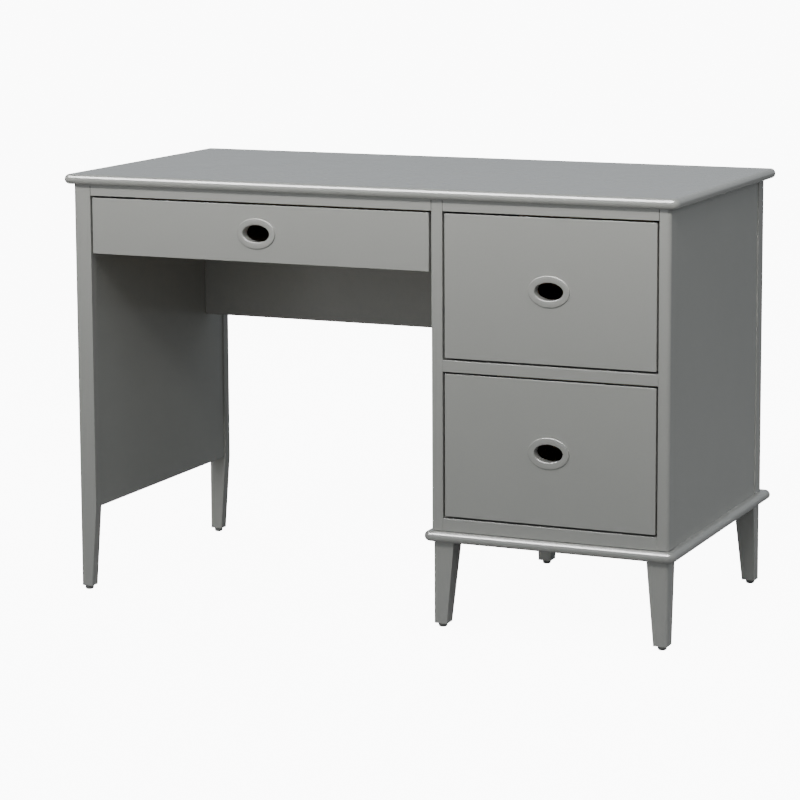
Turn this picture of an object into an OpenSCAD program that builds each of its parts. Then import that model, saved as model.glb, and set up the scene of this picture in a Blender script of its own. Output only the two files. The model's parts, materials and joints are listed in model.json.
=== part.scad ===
// Writing desk with one wide drawer over the kneehole and two deep drawers in a right-hand pedestal.
// Millimetres. The origin is the centre of the footprint on the floor: +X right, +Y back, +Z up.
// The drawers open towards -Y.

/* [Overall size] */
// Width of the desktop
desk_w = 1160; // [960:5:1500]
// Depth of the desktop
desk_d = 560; // [460:5:700]
// Height from the floor to the top of the desktop
desk_h = 765; // [620:5:930]

/* [Desktop] */
// Thickness of the desktop board, whose front and end edges are full bullnoses
top_t = 18; // [15:1:25]
// How far the desktop stands out past each end of the body
top_side_overhang = 16; // [12:1:25]
// How far the desktop stands out past the front posts
top_front_overhang = 14; // [11:1:25]
// How far the desktop stands out past the back posts
top_back_overhang = 14; // [0:1:25]
// Radius of the desktop's corners, seen from above
top_corner_r = 15; // [13:1:30]

/* [Left end] */
// Width of a left post, across the desk
end_post_w = 34; // [30:1:45]
// Depth of a left post, front to back
end_post_d = 20; // [18:1:30]
// Width of a left post at its foot
end_foot_w = 23; // [18:1:28]
// How far each face of the left end panel sits back from the posts
end_panel_recess = 3; // [1:0.5:5]
// Thickness of each of the two skins of the left end panel
end_skin_t = 9; // [6:1:10]
// Width of the rails inside the left end panel
core_rail_w = 60; // [40:5:80]

/* [Pedestal] */
// Width of the pedestal, over its posts
pedestal_w = 428; // [350:2:520]
// Width of a pedestal post, across the desk
ped_post_w = 20; // [17:1:30]
// Depth of a pedestal post, front to back
ped_post_d = 34; // [30:1:50]
// Thickness of the pedestal's side panels, flush with the posts on the inside
side_panel_t = 18; // [15:1:19]
// Thickness of the pedestal's back panel
back_panel_t = 9; // [6:1:12]
// How far the back panel sits in from the back of the posts
back_panel_recess = 5; // [2:1:12]
// Thickness of the base board, whose front and end edges are full bullnoses
base_t = 18; // [15:1:25]
// How far the base board stands out past the pedestal's sides
base_side_overhang = 14; // [12:1:25]
// How far the base board stands out past the front posts
base_front_overhang = 13; // [11:1:25]
// How far the base board stands out past the back posts
base_back_overhang = 13; // [0:1:25]
// Radius of the base board's corners, seen from above
base_corner_r = 15; // [13:1:30]

/* [Legs] */
// Height of the pedestal legs, and of the taper on the left posts
leg_h = 146; // [110:2:190]
// Side of a pedestal leg at its top
leg_top = 38; // [32:1:46]
// Side of a pedestal leg at its foot
leg_foot = 25; // [20:1:30]
// How far a leg's outer faces sit in from the posts above it
leg_inset = 1.5; // [0:0.5:4]
// Height of a glide
glide_h = 8; // [6:1:12]
// Radius of a glide
glide_r = 8; // [6:0.5:9]
// Radius of the flat that a glide stands on
glide_flat_r = 4; // [2:0.5:5]
// Radius of the nail on a glide
glide_nail_r = 1.6; // [1:0.1:2]
// Length of the nail on a glide
glide_nail_l = 18; // [10:1:25]
// Radius of the stud that joins a leg to the base board
stud_r = 4; // [3:0.5:5]
// Length of the stud inside the leg
stud_in_leg = 40; // [25:1:60]
// Wood left over the stud in the base board
stud_cover = 4; // [2:0.5:6]

/* [Rails and modesty panel] */
// Height of the rails over the drawers
top_rail_h = 20; // [16:1:35]
// Height of the rail between the pedestal drawers
middle_rail_h = 20; // [16:1:35]
// Height of the rail under the lower drawer
lower_rail_h = 23; // [16:1:35]
// Thickness of the modesty panel
modesty_t = 18; // [12:1:20]
// How far the modesty panel sits in from the back of the posts
modesty_setback = 71; // [40:1:120]

/* [Drawer fronts] */
// Thickness of the drawer fronts
front_t = 15; // [15:1:22]
// Gap round a drawer front
front_gap = 3; // [1.5:0.5:4]
// Gap at the right of the kneehole drawer's front
kneehole_right_gap = 4.5; // [1.5:0.5:6]
// How far the fronts sit back from the posts
front_recess = 1; // [0:0.5:3]
// Height of the kneehole drawer's front
kneehole_front_h = 102.5; // [85:0.5:125]

/* [Finger pulls] */
// Width of the ring round a finger hole
ring_w = 74; // [62:1:95]
// Height of the ring round a finger hole
ring_h = 54; // [44:1:65]
// Width of the finger hole
hole_w = 52; // [44:1:62]
// Height of the finger hole
hole_h = 31; // [26:1:37]
// How far the ring stands out from the drawer front
ring_t = 3; // [2:0.5:6]
// Width of the step round the ring's edge
ring_step = 3; // [1:0.5:4]
// Wall of the sleeve that lines the finger hole
sleeve_t = 2; // [1:0.5:3]
// Gap between the sleeve and the drawer front
sleeve_fit = 0.2; // [0.1:0.1:0.5]

/* [Drawer boxes] */
// Thickness of the drawer sides and backs
box_t = 12; // [11:1:15]
// Thickness of the drawer bottoms
bottom_t = 5; // [4:1:8]
// Depth of the groove that holds a drawer bottom
groove_d = 6; // [4:0.5:7]
// Height of the groove above the bottom edge of the sides
groove_up = 10; // [8:1:15]
// Play of a drawer bottom in its grooves
groove_play = 0.2; // [0.1:0.1:0.5]
// Height of the kneehole drawer's box above its front's bottom edge
kneehole_box_lift = 12; // [8:1:18]
// Height of the kneehole drawer's front above its box
kneehole_box_headroom = 15.5; // [14:0.5:25]
// Gap between a pedestal drawer's box and the rail under it
pedestal_box_lift = 15; // [8:1:30]
// Gap between a pedestal drawer's box and the rail over it
pedestal_box_headroom = 41; // [25:1:70]
// Height of the pedestal slides' centre above the box's bottom edge
pedestal_slide_up = 60; // [30:1:80]
// Room left behind a drawer box
box_end_room = 15; // [10:1:40]

/* [Slides] */
// Width of a slide, from the cabinet to the drawer side
slide_w = 12.7; // [12.7:0.1:14]
// Height of a slide
slide_h = 45; // [42:1:46]
// Thickness of the slide's steel
slide_steel = 1.2; // [1:0.1:1.3]
// Space between the lips of two slide members, for the balls
slide_play = 1.3; // [1:0.1:1.5]
// Distance from the cabinet to the middle member's web
middle_web_x = 3.2; // [3.2:0.1:3.6]
// Distance from the cabinet to the edge of the cabinet member's lips
cabinet_lip_x = 9; // [7:0.5:10]
// Distance from the drawer side to the edge of the middle member's lips
middle_lip_gap = 2.3; // [2.1:0.1:3]
// Distance from the cabinet to the edge of the drawer member's lips
drawer_lip_x = 5.4; // [5.2:0.1:8]
// Step between the lengths that slides are sold in
slide_length_step = 50; // [25:25:50]
// Distance from the back of a drawer front to its slides
slide_setback = 3; // [2:1:10]
// Distance from the end of a slide to its first screw
slide_screw_in = 35; // [20:1:60]

/* [Screws and brackets] */
// Radius of a screw
screw_r = 2; // [1.5:0.25:2.5]
// Length of a screw under its head
screw_l = 12; // [8:1:12]
// Radius of a screw head
screw_head_r = 4; // [3:0.5:5]
// Height of a screw head
screw_head_h = 1.4; // [1:0.1:1.5]
// Gap between a screw, stud or nail and its hole
screw_fit = 0.05; // [0.02:0.01:0.1]
// Length of each leg of a desktop bracket
bracket_leg = 28; // [22:1:34]
// Width of a desktop bracket
bracket_w = 20; // [12:1:30]
// Thickness of a desktop bracket's steel
bracket_t = 2; // [1.5:0.5:3]
// Distance from a bracket's corner to its screws
bracket_screw_x = 18; // [10:1:20]
// Distance from a post or the modesty panel to the bracket nearest it
bracket_from_post = 70; // [30:5:120]

/* [Hidden] */
$fn = 48;
// Points round an oval outline
oval_points = 48;
// Sides of a full turn of a bullnose board's plan corners, and of its edge
corner_fn = 40;
edge_fn = 24;
// Extra length that carries a cut past a face
past = 1;

// Colours
paint = "#8f8f8c";
pull_paint = "#9a9a97";
board = "#d8cdb8";
steel = "#b9bcc0";
zinc = "#c9ccd0";
plastic = "#3a3a3a";

// Faces of the body, which the overhangs leave inside the desktop's outline
body_x0 = -desk_w / 2 + top_side_overhang;
body_x1 = desk_w / 2 - top_side_overhang;
body_y0 = -desk_d / 2 + top_front_overhang;
body_y1 = desk_d / 2 - top_back_overhang;
top_z0 = desk_h - top_t;
base_z0 = glide_h + leg_h;
base_z1 = base_z0 + base_t;

// Left end: the panel is a core of rails between two skins
end_inner_x = body_x0 + end_post_w;
end_skin_x0 = body_x0 + end_panel_recess;
end_core_x0 = end_skin_x0 + end_skin_t;
end_core_x1 = end_inner_x - end_panel_recess - end_skin_t;
end_face_x = end_inner_x - end_panel_recess;
end_panel_y0 = body_y0 + end_post_d;
end_panel_y1 = body_y1 - end_post_d;

// Pedestal
ped_x0 = body_x1 - pedestal_w;
ped_in_x0 = ped_x0 + ped_post_w;
ped_in_x1 = body_x1 - ped_post_w;
ped_panel_x0 = ped_in_x0 - side_panel_t;
ped_panel_y0 = body_y0 + ped_post_d;
ped_panel_y1 = body_y1 - ped_post_d;
back_panel_y1 = body_y1 - back_panel_recess;
back_panel_y0 = back_panel_y1 - back_panel_t;

// The two pedestal drawers share what the rails leave
opening_h = (top_z0 - top_rail_h - middle_rail_h - lower_rail_h - base_z1) / 2;
lower_opening_z0 = base_z1 + lower_rail_h;
middle_rail_z0 = lower_opening_z0 + opening_h;
upper_opening_z0 = middle_rail_z0 + middle_rail_h;
top_rail_z0 = top_z0 - top_rail_h;

// The modesty panel closes the back of the kneehole down to the middle rail's lower edge
modesty_y1 = body_y1 - modesty_setback;
modesty_y0 = modesty_y1 - modesty_t;
modesty_z0 = middle_rail_z0;

// Fronts and boxes, front to back
front_y0 = body_y0 + front_recess;
front_y1 = front_y0 + front_t;
slide_y0 = front_y1 + slide_setback;

// The longest slide that is sold and leaves room behind the box
function slide_length(y_limit) =
    slide_length_step * floor((y_limit - box_end_room - slide_y0) / slide_length_step);

// A bay holds one drawer: where it is, its front, its box and its slides
function bay(x0, x1, front_z0, front_h, right_gap, box_z0, box_h, slide_l, slide_z) =
    [x0, x1, front_z0, front_h, right_gap, box_z0, box_h, slide_l, slide_z];
function bay_x0(b) = b[0];
function bay_x1(b) = b[1];
function front_z0(b) = b[2];
function front_h(b) = b[3];
function front_x0(b) = b[0] + front_gap;
function front_x1(b) = b[1] - b[4];
function box_x0(b) = b[0] + slide_w;
function box_x1(b) = b[1] - slide_w;
function box_z0(b) = b[5];
function box_h(b) = b[6];
function slide_l(b) = b[7];
function slide_z(b) = b[8];
function box_y1(b) = slide_y0 + slide_l(b) + slide_setback;

kneehole_front_z0 = top_rail_z0 - front_gap - kneehole_front_h;
kneehole_box_z0 = kneehole_front_z0 + kneehole_box_lift;
kneehole_box_h = kneehole_front_h - kneehole_box_lift - kneehole_box_headroom;
kneehole_slide_z = kneehole_box_z0 + kneehole_box_h / 2;
pedestal_front_h = opening_h - 2 * front_gap;
pedestal_box_h = opening_h - pedestal_box_lift - pedestal_box_headroom;

kneehole_bay = bay(end_inner_x, ped_x0, kneehole_front_z0, kneehole_front_h, kneehole_right_gap,
    kneehole_box_z0, kneehole_box_h, slide_length(modesty_y0), kneehole_slide_z);
function pedestal_bay(opening_z0) = bay(ped_in_x0, ped_in_x1, opening_z0 + front_gap, pedestal_front_h,
    front_gap, opening_z0 + pedestal_box_lift, pedestal_box_h, slide_length(back_panel_y0),
    opening_z0 + pedestal_box_lift + pedestal_slide_up);
upper_bay = pedestal_bay(upper_opening_z0);
lower_bay = pedestal_bay(lower_opening_z0);
bays = [kneehole_bay, upper_bay, lower_bay];

// Slide members, across the slide: the lips of each run inside the lips of the one outside it
middle_h = slide_h - 2 * (slide_steel + slide_play);
inner_h = middle_h - 2 * (slide_steel + slide_play);

// ---------- shared shapes ----------

// A block given by its two opposite corners
module block(low, high) {
    translate(low) cube(high - low);
}

// A board with a bullnose edge at the front and both ends, rounded front corners and a square back, on z = 0
module bullnose_board(x0, x1, y0, y1, t, corner_r) {
    r = t / 2;
    hull() {
        for (x = [x0 + corner_r, x1 - corner_r])
            translate([x, y0 + corner_r, 0]) rotate_extrude($fn = corner_fn) intersection() {
                translate([corner_r - r, r]) circle(r = r, $fn = edge_fn);
                square([corner_r + past, t]);
            }
        for (x = [x0 + r, x1 - r])
            translate([x, y1, r]) rotate([90, 0, 0])
                cylinder(r = r, h = y1 - y0 - corner_r, $fn = edge_fn);
    }
}

// An oval outline
module oval(w, h) {
    polygon([for (i = [0 : oval_points - 1]) [w / 2 * cos(360 * i / oval_points),
                                             h / 2 * sin(360 * i / oval_points)]]);
}

// An oval bar along Y, from y0 to y1, centred on x and z
module oval_bar(x, z, w, h, y0, y1) {
    translate([x, y1, z]) rotate([90, 0, 0]) linear_extrude(y1 - y0) oval(w, h);
}

// Cuts the face at x = wide back to x = narrow at the foot of a leg that is tall high
module foot_taper(wide, narrow, tall) {
    lean = atan((wide - narrow) / tall);
    translate([wide, -wide, tall]) rotate([0, lean, 0])
        translate([0, 0, -2 * tall]) cube([wide, 4 * wide, 3 * tall]);
}

// ---------- screws ----------

// A screw along +X whose head's underside is at x = 0
module screw() {
    rotate([0, 90, 0]) cylinder(r = screw_r, h = screw_l);
    translate([-screw_head_h, 0, 0]) rotate([0, 90, 0]) cylinder(r = screw_head_r, h = screw_head_h);
}

// The hole that a screw sits in
module screw_hole() {
    rotate([0, 90, 0]) cylinder(r = screw_r + screw_fit, h = screw_l);
}

function slide_screw_ys(b) = [
    slide_y0 + slide_screw_in,
    slide_y0 + slide_l(b) / 2,
    slide_y0 + slide_l(b) - slide_screw_in
];

// Puts its children at each screw of a bay's cabinet slides, pointing out into the cabinet
module at_cabinet_screws(b) {
    for (y = slide_screw_ys(b)) {
        translate([bay_x0(b) + slide_steel, y, slide_z(b)]) mirror([1, 0, 0]) children();
        translate([bay_x1(b) - slide_steel, y, slide_z(b)]) children();
    }
}

// Puts its children at each screw of a drawer's slides, pointing in to the drawer side
module at_drawer_screws(b) {
    for (y = slide_screw_ys(b)) {
        translate([box_x0(b) - slide_steel, y, slide_z(b)]) children();
        translate([box_x1(b) + slide_steel, y, slide_z(b)]) mirror([1, 0, 0]) children();
    }
}

// ---------- desktop brackets ----------

// Puts its children at the top inner corner of each bracket, with the upright face at x = 0
module at_brackets() {
    for (y = [end_panel_y0 + bracket_from_post, modesty_y0 - bracket_from_post])
        translate([end_face_x, y, top_z0]) children();
    for (y = [ped_panel_y0 + bracket_from_post, ped_panel_y1 - bracket_from_post]) {
        translate([ped_in_x0, y, top_z0]) children();
        translate([ped_in_x1, y, top_z0]) rotate([0, 0, 180]) children();
    }
    for (x = [end_face_x + 2 * bracket_from_post, ped_panel_x0 - 2 * bracket_from_post])
        translate([x, modesty_y0, top_z0]) rotate([0, 0, -90]) children();
}

// Puts its children at both screws of a bracket
module at_bracket_screws() {
    translate([bracket_t, 0, -bracket_screw_x]) mirror([1, 0, 0]) children();
    translate([bracket_screw_x, 0, -bracket_t]) rotate([0, -90, 0]) children();
}

module bracket() {
    difference() {
        union() {
            block([0, -bracket_w / 2, -bracket_leg], [bracket_t, bracket_w / 2, 0]);
            block([0, -bracket_w / 2, -bracket_t], [bracket_leg, bracket_w / 2, 0]);
        }
        at_bracket_screws() screw_hole();
    }
}

module bracket_holes() {
    at_brackets() at_bracket_screws() screw_hole();
}

// ---------- glides and studs ----------

// Centres of the feet under the left posts, then under the pedestal legs, whose studs stand on the same axes
leg_axis_in = leg_inset + leg_foot / 2;
end_feet = [for (y = [body_y0 + end_post_d / 2, body_y1 - end_post_d / 2]) [body_x0 + end_foot_w / 2, y, 0]];
leg_feet = [for (x = [ped_x0 + leg_axis_in, body_x1 - leg_axis_in],
                 y = [body_y0 + leg_axis_in, body_y1 - leg_axis_in]) [x, y, 0]];
leg_axes = [for (p = leg_feet) [p[0], p[1], base_z0 - stud_in_leg]];

module glide() {
    shoulder = glide_r - glide_flat_r;
    rotate_extrude() polygon(concat(
        [[0, glide_h], [0, 0]],
        [for (a = [0 : 15 : 90]) [glide_flat_r + shoulder * sin(a), shoulder * (1 - cos(a))]],
        [[glide_r, glide_h]]));
    translate([0, 0, glide_h - past]) cylinder(r = glide_nail_r, h = glide_nail_l + past);
}

module nail_hole() {
    translate([0, 0, glide_h - past]) cylinder(r = glide_nail_r + screw_fit, h = glide_nail_l + past);
}

module stud(gap) {
    cylinder(r = stud_r + gap, h = stud_in_leg + base_t - stud_cover);
}

// ---------- body ----------

module desktop() {
    color(paint) difference() {
        translate([0, 0, top_z0])
            bullnose_board(-desk_w / 2, desk_w / 2, -desk_d / 2, desk_d / 2, top_t, top_corner_r);
        bracket_holes();
    }
}

module end_post(y0) {
    color(paint) difference() {
        block([body_x0, y0, glide_h], [end_inner_x, y0 + end_post_d, top_z0]);
        translate([body_x0, y0, glide_h]) foot_taper(end_post_w, end_foot_w, leg_h);
        for (p = end_feet) translate(p) nail_hole();
    }
}

module left_front_post() {
    end_post(body_y0);
}

module left_back_post() {
    end_post(body_y1 - end_post_d);
}

module left_end_outer_skin() {
    color(paint) block([end_skin_x0, end_panel_y0, base_z0], [end_core_x0, end_panel_y1, top_z0]);
}

module left_end_inner_skin() {
    color(paint) difference() {
        block([end_core_x1, end_panel_y0, base_z0], [end_face_x, end_panel_y1, top_z0]);
        bracket_holes();
        at_cabinet_screws(kneehole_bay) screw_hole();
    }
}

// The top rail is deep enough to stand behind the drawer slide and the brackets
module left_end_core_rails() {
    middle_z = (base_z0 + kneehole_slide_z) / 2;
    color(board) difference() {
        for (span = [[base_z0, base_z0 + core_rail_w],
                     [middle_z - core_rail_w / 2, middle_z + core_rail_w / 2],
                     [kneehole_slide_z - core_rail_w / 2, top_z0]])
            block([end_core_x0, end_panel_y0, span[0]], [end_core_x1, end_panel_y1, span[1]]);
        bracket_holes();
        at_cabinet_screws(kneehole_bay) screw_hole();
    }
}

module pedestal_post(x0, y0) {
    color(paint) block([x0, y0, base_z1], [x0 + ped_post_w, y0 + ped_post_d, top_z0]);
}

module centre_front_post() {
    pedestal_post(ped_x0, body_y0);
}

module right_front_post() {
    pedestal_post(ped_in_x1, body_y0);
}

module centre_back_post() {
    pedestal_post(ped_x0, ped_panel_y1);
}

module right_back_post() {
    pedestal_post(ped_in_x1, ped_panel_y1);
}

module side_panel(x0) {
    color(paint) difference() {
        block([x0, ped_panel_y0, base_z1], [x0 + side_panel_t, ped_panel_y1, top_z0]);
        bracket_holes();
        for (b = bays) at_cabinet_screws(b) screw_hole();
    }
}

module pedestal_inner_panel() {
    side_panel(ped_panel_x0);
}

module pedestal_outer_panel() {
    side_panel(ped_in_x1);
}

module pedestal_back_panel() {
    color(paint) block([ped_in_x0, back_panel_y0, base_z1], [ped_in_x1, back_panel_y1, top_z0]);
}

module pedestal_base() {
    color(paint) difference() {
        translate([0, 0, base_z0])
            bullnose_board(ped_x0 - base_side_overhang, body_x1 + base_side_overhang,
                body_y0 - base_front_overhang, body_y1 + base_back_overhang, base_t, base_corner_r);
        for (p = leg_axes) translate(p) stud(screw_fit);
    }
}

// ---------- legs ----------

// A leg whose outer corner is at the origin and whose two inner faces taper
module tapered_leg() {
    difference() {
        cube([leg_top, leg_top, leg_h]);
        foot_taper(leg_top, leg_foot, leg_h);
        mirror([1, -1, 0]) foot_taper(leg_top, leg_foot, leg_h);
    }
}

// The leg under one corner of the pedestal: sx and sy are 1 at the left and front, -1 at the right and back
module pedestal_leg(sx, sy) {
    x = sx > 0 ? ped_x0 + leg_inset : body_x1 - leg_inset;
    y = sy > 0 ? body_y0 + leg_inset : body_y1 - leg_inset;
    color(paint) difference() {
        translate([x, y, glide_h]) mirror([sx > 0 ? 0 : 1, 0, 0]) mirror([0, sy > 0 ? 0 : 1, 0]) tapered_leg();
        for (p = leg_feet) translate(p) nail_hole();
        for (p = leg_axes) translate(p) stud(screw_fit);
    }
}

module leg_front_left() {
    pedestal_leg(1, 1);
}

module leg_front_right() {
    pedestal_leg(-1, 1);
}

module leg_back_left() {
    pedestal_leg(1, -1);
}

module leg_back_right() {
    pedestal_leg(-1, -1);
}

module leg_studs() {
    color(zinc) for (p = leg_axes) translate(p) stud(0);
}

module leg_glides() {
    color(plastic) for (p = concat(end_feet, leg_feet)) translate(p) glide();
}

// ---------- rails and modesty panel ----------

module kneehole_rail() {
    color(paint) block([end_inner_x, body_y0, top_rail_z0], [ped_x0, ped_panel_y0, top_z0]);
}

module pedestal_rail(z0, h) {
    color(paint) block([ped_in_x0, body_y0, z0], [ped_in_x1, ped_panel_y0, z0 + h]);
}

module upper_rail() {
    pedestal_rail(top_rail_z0, top_rail_h);
}

module middle_rail() {
    pedestal_rail(middle_rail_z0, middle_rail_h);
}

module lower_rail() {
    pedestal_rail(base_z1, lower_rail_h);
}

module modesty_panel() {
    color(paint) difference() {
        block([end_face_x, modesty_y0, modesty_z0], [ped_panel_x0, modesty_y1, top_z0]);
        bracket_holes();
    }
}

// Strips that bring the kneehole slides out to the faces of the posts
module slide_packers() {
    y1 = slide_y0 + slide_l(kneehole_bay);
    z0 = kneehole_slide_z - slide_h / 2;
    z1 = kneehole_slide_z + slide_h / 2;
    color(paint) difference() {
        union() {
            block([end_face_x, end_panel_y0, z0], [end_inner_x, y1, z1]);
            block([ped_x0, ped_panel_y0, z0], [ped_panel_x0, y1, z1]);
        }
        at_cabinet_screws(kneehole_bay) screw_hole();
    }
}

module desktop_brackets() {
    color(zinc) at_brackets() bracket();
}

module frame_screws() {
    color(zinc) {
        at_brackets() at_bracket_screws() screw();
        for (b = bays) at_cabinet_screws(b) screw();
    }
}

// ---------- slides ----------

// A channel of height h, with its web's outer face at x = web_x and its lips reaching to x = lip_x
module channel(b, web_x, lip_x, h) {
    y1 = slide_y0 + slide_l(b);
    block([min(web_x, lip_x), slide_y0, h / 2 - slide_steel], [max(web_x, lip_x), y1, h / 2]);
    block([min(web_x, lip_x), slide_y0, -h / 2], [max(web_x, lip_x), y1, slide_steel - h / 2]);
    web_x0 = web_x < lip_x ? web_x : web_x - slide_steel;
    block([web_x0, slide_y0, -h / 2], [web_x0 + slide_steel, y1, h / 2]);
}

// Puts its children at both sides of a bay, measured out from the cabinet's face
module at_slides(b) {
    translate([bay_x0(b), 0, slide_z(b)]) children();
    translate([bay_x1(b), 0, slide_z(b)]) mirror([1, 0, 0]) children();
}

module cabinet_slides(b) {
    color(steel) difference() {
        at_slides(b) channel(b, 0, cabinet_lip_x, slide_h);
        at_cabinet_screws(b) translate([-past, 0, 0]) screw_hole();
    }
}

module middle_slides(b) {
    color(steel) at_slides(b) channel(b, middle_web_x, slide_w - middle_lip_gap, middle_h);
}

module drawer_slides(b) {
    color(steel) difference() {
        at_slides(b) channel(b, slide_w, drawer_lip_x, inner_h);
        at_drawer_screws(b) translate([-past, 0, 0]) screw_hole();
    }
}

module kneehole_cabinet_slides() {
    cabinet_slides(kneehole_bay);
}

module kneehole_middle_slides() {
    middle_slides(kneehole_bay);
}

module kneehole_drawer_slides() {
    drawer_slides(kneehole_bay);
}

module upper_cabinet_slides() {
    cabinet_slides(upper_bay);
}

module upper_middle_slides() {
    middle_slides(upper_bay);
}

module upper_drawer_slides() {
    drawer_slides(upper_bay);
}

module lower_cabinet_slides() {
    cabinet_slides(lower_bay);
}

module lower_middle_slides() {
    middle_slides(lower_bay);
}

module lower_drawer_slides() {
    drawer_slides(lower_bay);
}

// ---------- drawers ----------

function pull_x(b) = (front_x0(b) + front_x1(b)) / 2;
function pull_z(b) = front_z0(b) + front_h(b) / 2;

// The space of a drawer bottom in its grooves, with play on the sides and above
module bottom_groove(b) {
    side_in = box_t - groove_d;
    z0 = box_z0(b) + groove_up;
    block([box_x0(b) + side_in, front_y1 - groove_d, z0],
          [box_x1(b) - side_in, box_y1(b) + past, z0 + bottom_t + groove_play]);
}

module drawer_front(b) {
    color(paint) difference() {
        block([front_x0(b), front_y0, front_z0(b)], [front_x1(b), front_y1, front_z0(b) + front_h(b)]);
        oval_bar(pull_x(b), pull_z(b), hole_w + 2 * (sleeve_t + sleeve_fit), hole_h + 2 * (sleeve_t + sleeve_fit),
            front_y0 - past, front_y1 + past);
        bottom_groove(b);
    }
}

module drawer_pull(b) {
    color(pull_paint) difference() {
        union() {
            oval_bar(pull_x(b), pull_z(b), ring_w, ring_h, front_y0 - ring_t / 2, front_y0);
            oval_bar(pull_x(b), pull_z(b), ring_w - 2 * ring_step, ring_h - 2 * ring_step,
                front_y0 - ring_t, front_y0);
            oval_bar(pull_x(b), pull_z(b), hole_w + 2 * sleeve_t, hole_h + 2 * sleeve_t,
                front_y0 - ring_t, front_y1);
        }
        oval_bar(pull_x(b), pull_z(b), hole_w, hole_h, front_y0 - ring_t - past, front_y1 + past);
    }
}

module drawer_side(b, x0) {
    color(board) difference() {
        block([x0, front_y1, box_z0(b)], [x0 + box_t, box_y1(b), box_z0(b) + box_h(b)]);
        bottom_groove(b);
        at_drawer_screws(b) screw_hole();
    }
}

// The back stands on the bottom, which runs under it
module drawer_back(b) {
    z0 = box_z0(b) + groove_up + bottom_t + groove_play;
    color(board) block([box_x0(b) + box_t, box_y1(b) - box_t, z0],
                       [box_x1(b) - box_t, box_y1(b), box_z0(b) + box_h(b)]);
}

module drawer_bottom(b) {
    side_in = box_t - groove_d + groove_play;
    z0 = box_z0(b) + groove_up;
    color(board) block([box_x0(b) + side_in, front_y1 - groove_d + groove_play, z0],
                       [box_x1(b) - side_in, box_y1(b), z0 + bottom_t]);
}

module drawer_screws(b) {
    color(zinc) at_drawer_screws(b) screw();
}

module kneehole_drawer_front() {
    drawer_front(kneehole_bay);
}

module kneehole_drawer_pull() {
    drawer_pull(kneehole_bay);
}

module kneehole_drawer_left_side() {
    drawer_side(kneehole_bay, box_x0(kneehole_bay));
}

module kneehole_drawer_right_side() {
    drawer_side(kneehole_bay, box_x1(kneehole_bay) - box_t);
}

module kneehole_drawer_back() {
    drawer_back(kneehole_bay);
}

module kneehole_drawer_bottom() {
    drawer_bottom(kneehole_bay);
}

module kneehole_drawer_screws() {
    drawer_screws(kneehole_bay);
}

module upper_drawer_front() {
    drawer_front(upper_bay);
}

module upper_drawer_pull() {
    drawer_pull(upper_bay);
}

module upper_drawer_left_side() {
    drawer_side(upper_bay, box_x0(upper_bay));
}

module upper_drawer_right_side() {
    drawer_side(upper_bay, box_x1(upper_bay) - box_t);
}

module upper_drawer_back() {
    drawer_back(upper_bay);
}

module upper_drawer_bottom() {
    drawer_bottom(upper_bay);
}

module upper_drawer_screws() {
    drawer_screws(upper_bay);
}

module lower_drawer_front() {
    drawer_front(lower_bay);
}

module lower_drawer_pull() {
    drawer_pull(lower_bay);
}

module lower_drawer_left_side() {
    drawer_side(lower_bay, box_x0(lower_bay));
}

module lower_drawer_right_side() {
    drawer_side(lower_bay, box_x1(lower_bay) - box_t);
}

module lower_drawer_back() {
    drawer_back(lower_bay);
}

module lower_drawer_bottom() {
    drawer_bottom(lower_bay);
}

module lower_drawer_screws() {
    drawer_screws(lower_bay);
}

desktop();
left_front_post();
left_back_post();
left_end_outer_skin();
left_end_inner_skin();
left_end_core_rails();
centre_front_post();
right_front_post();
centre_back_post();
right_back_post();
pedestal_inner_panel();
pedestal_outer_panel();
pedestal_back_panel();
pedestal_base();
leg_front_left();
leg_front_right();
leg_back_left();
leg_back_right();
leg_studs();
leg_glides();
kneehole_rail();
upper_rail();
middle_rail();
lower_rail();
modesty_panel();
slide_packers();
desktop_brackets();
frame_screws();
kneehole_cabinet_slides();
kneehole_middle_slides();
kneehole_drawer_slides();
kneehole_drawer_front();
kneehole_drawer_pull();
kneehole_drawer_left_side();
kneehole_drawer_right_side();
kneehole_drawer_back();
kneehole_drawer_bottom();
kneehole_drawer_screws();
upper_cabinet_slides();
upper_middle_slides();
upper_drawer_slides();
upper_drawer_front();
upper_drawer_pull();
upper_drawer_left_side();
upper_drawer_right_side();
upper_drawer_back();
upper_drawer_bottom();
upper_drawer_screws();
lower_cabinet_slides();
lower_middle_slides();
lower_drawer_slides();
lower_drawer_front();
lower_drawer_pull();
lower_drawer_left_side();
lower_drawer_right_side();
lower_drawer_back();
lower_drawer_bottom();
lower_drawer_screws();
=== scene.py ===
"""Finished pieces of a writing desk with three drawers, built round its frame, in metres and its own axes."""

import json
from math import cos, pi, radians, sin

import bmesh
import bpy
from bpy.props import FloatProperty, FloatVectorProperty, IntProperty, PointerProperty
from mathutils import Matrix, Vector


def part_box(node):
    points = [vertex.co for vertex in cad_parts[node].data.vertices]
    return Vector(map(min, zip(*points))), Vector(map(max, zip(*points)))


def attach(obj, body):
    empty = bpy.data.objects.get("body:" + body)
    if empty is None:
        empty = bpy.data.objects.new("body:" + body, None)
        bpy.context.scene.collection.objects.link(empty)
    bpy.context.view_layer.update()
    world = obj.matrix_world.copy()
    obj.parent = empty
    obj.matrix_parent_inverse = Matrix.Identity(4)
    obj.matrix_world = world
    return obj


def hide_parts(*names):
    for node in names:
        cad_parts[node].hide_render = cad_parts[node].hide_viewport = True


bl_info = {
    "name": "Writing desk with drawers",
    "version": (1, 0, 0),
    "blender": (4, 5, 0),
    "location": "3D View > Sidebar > Writing Desk",
    "description": "Builds the finished pieces of a painted writing desk round its frame",
    "category": "Object",
}

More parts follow.
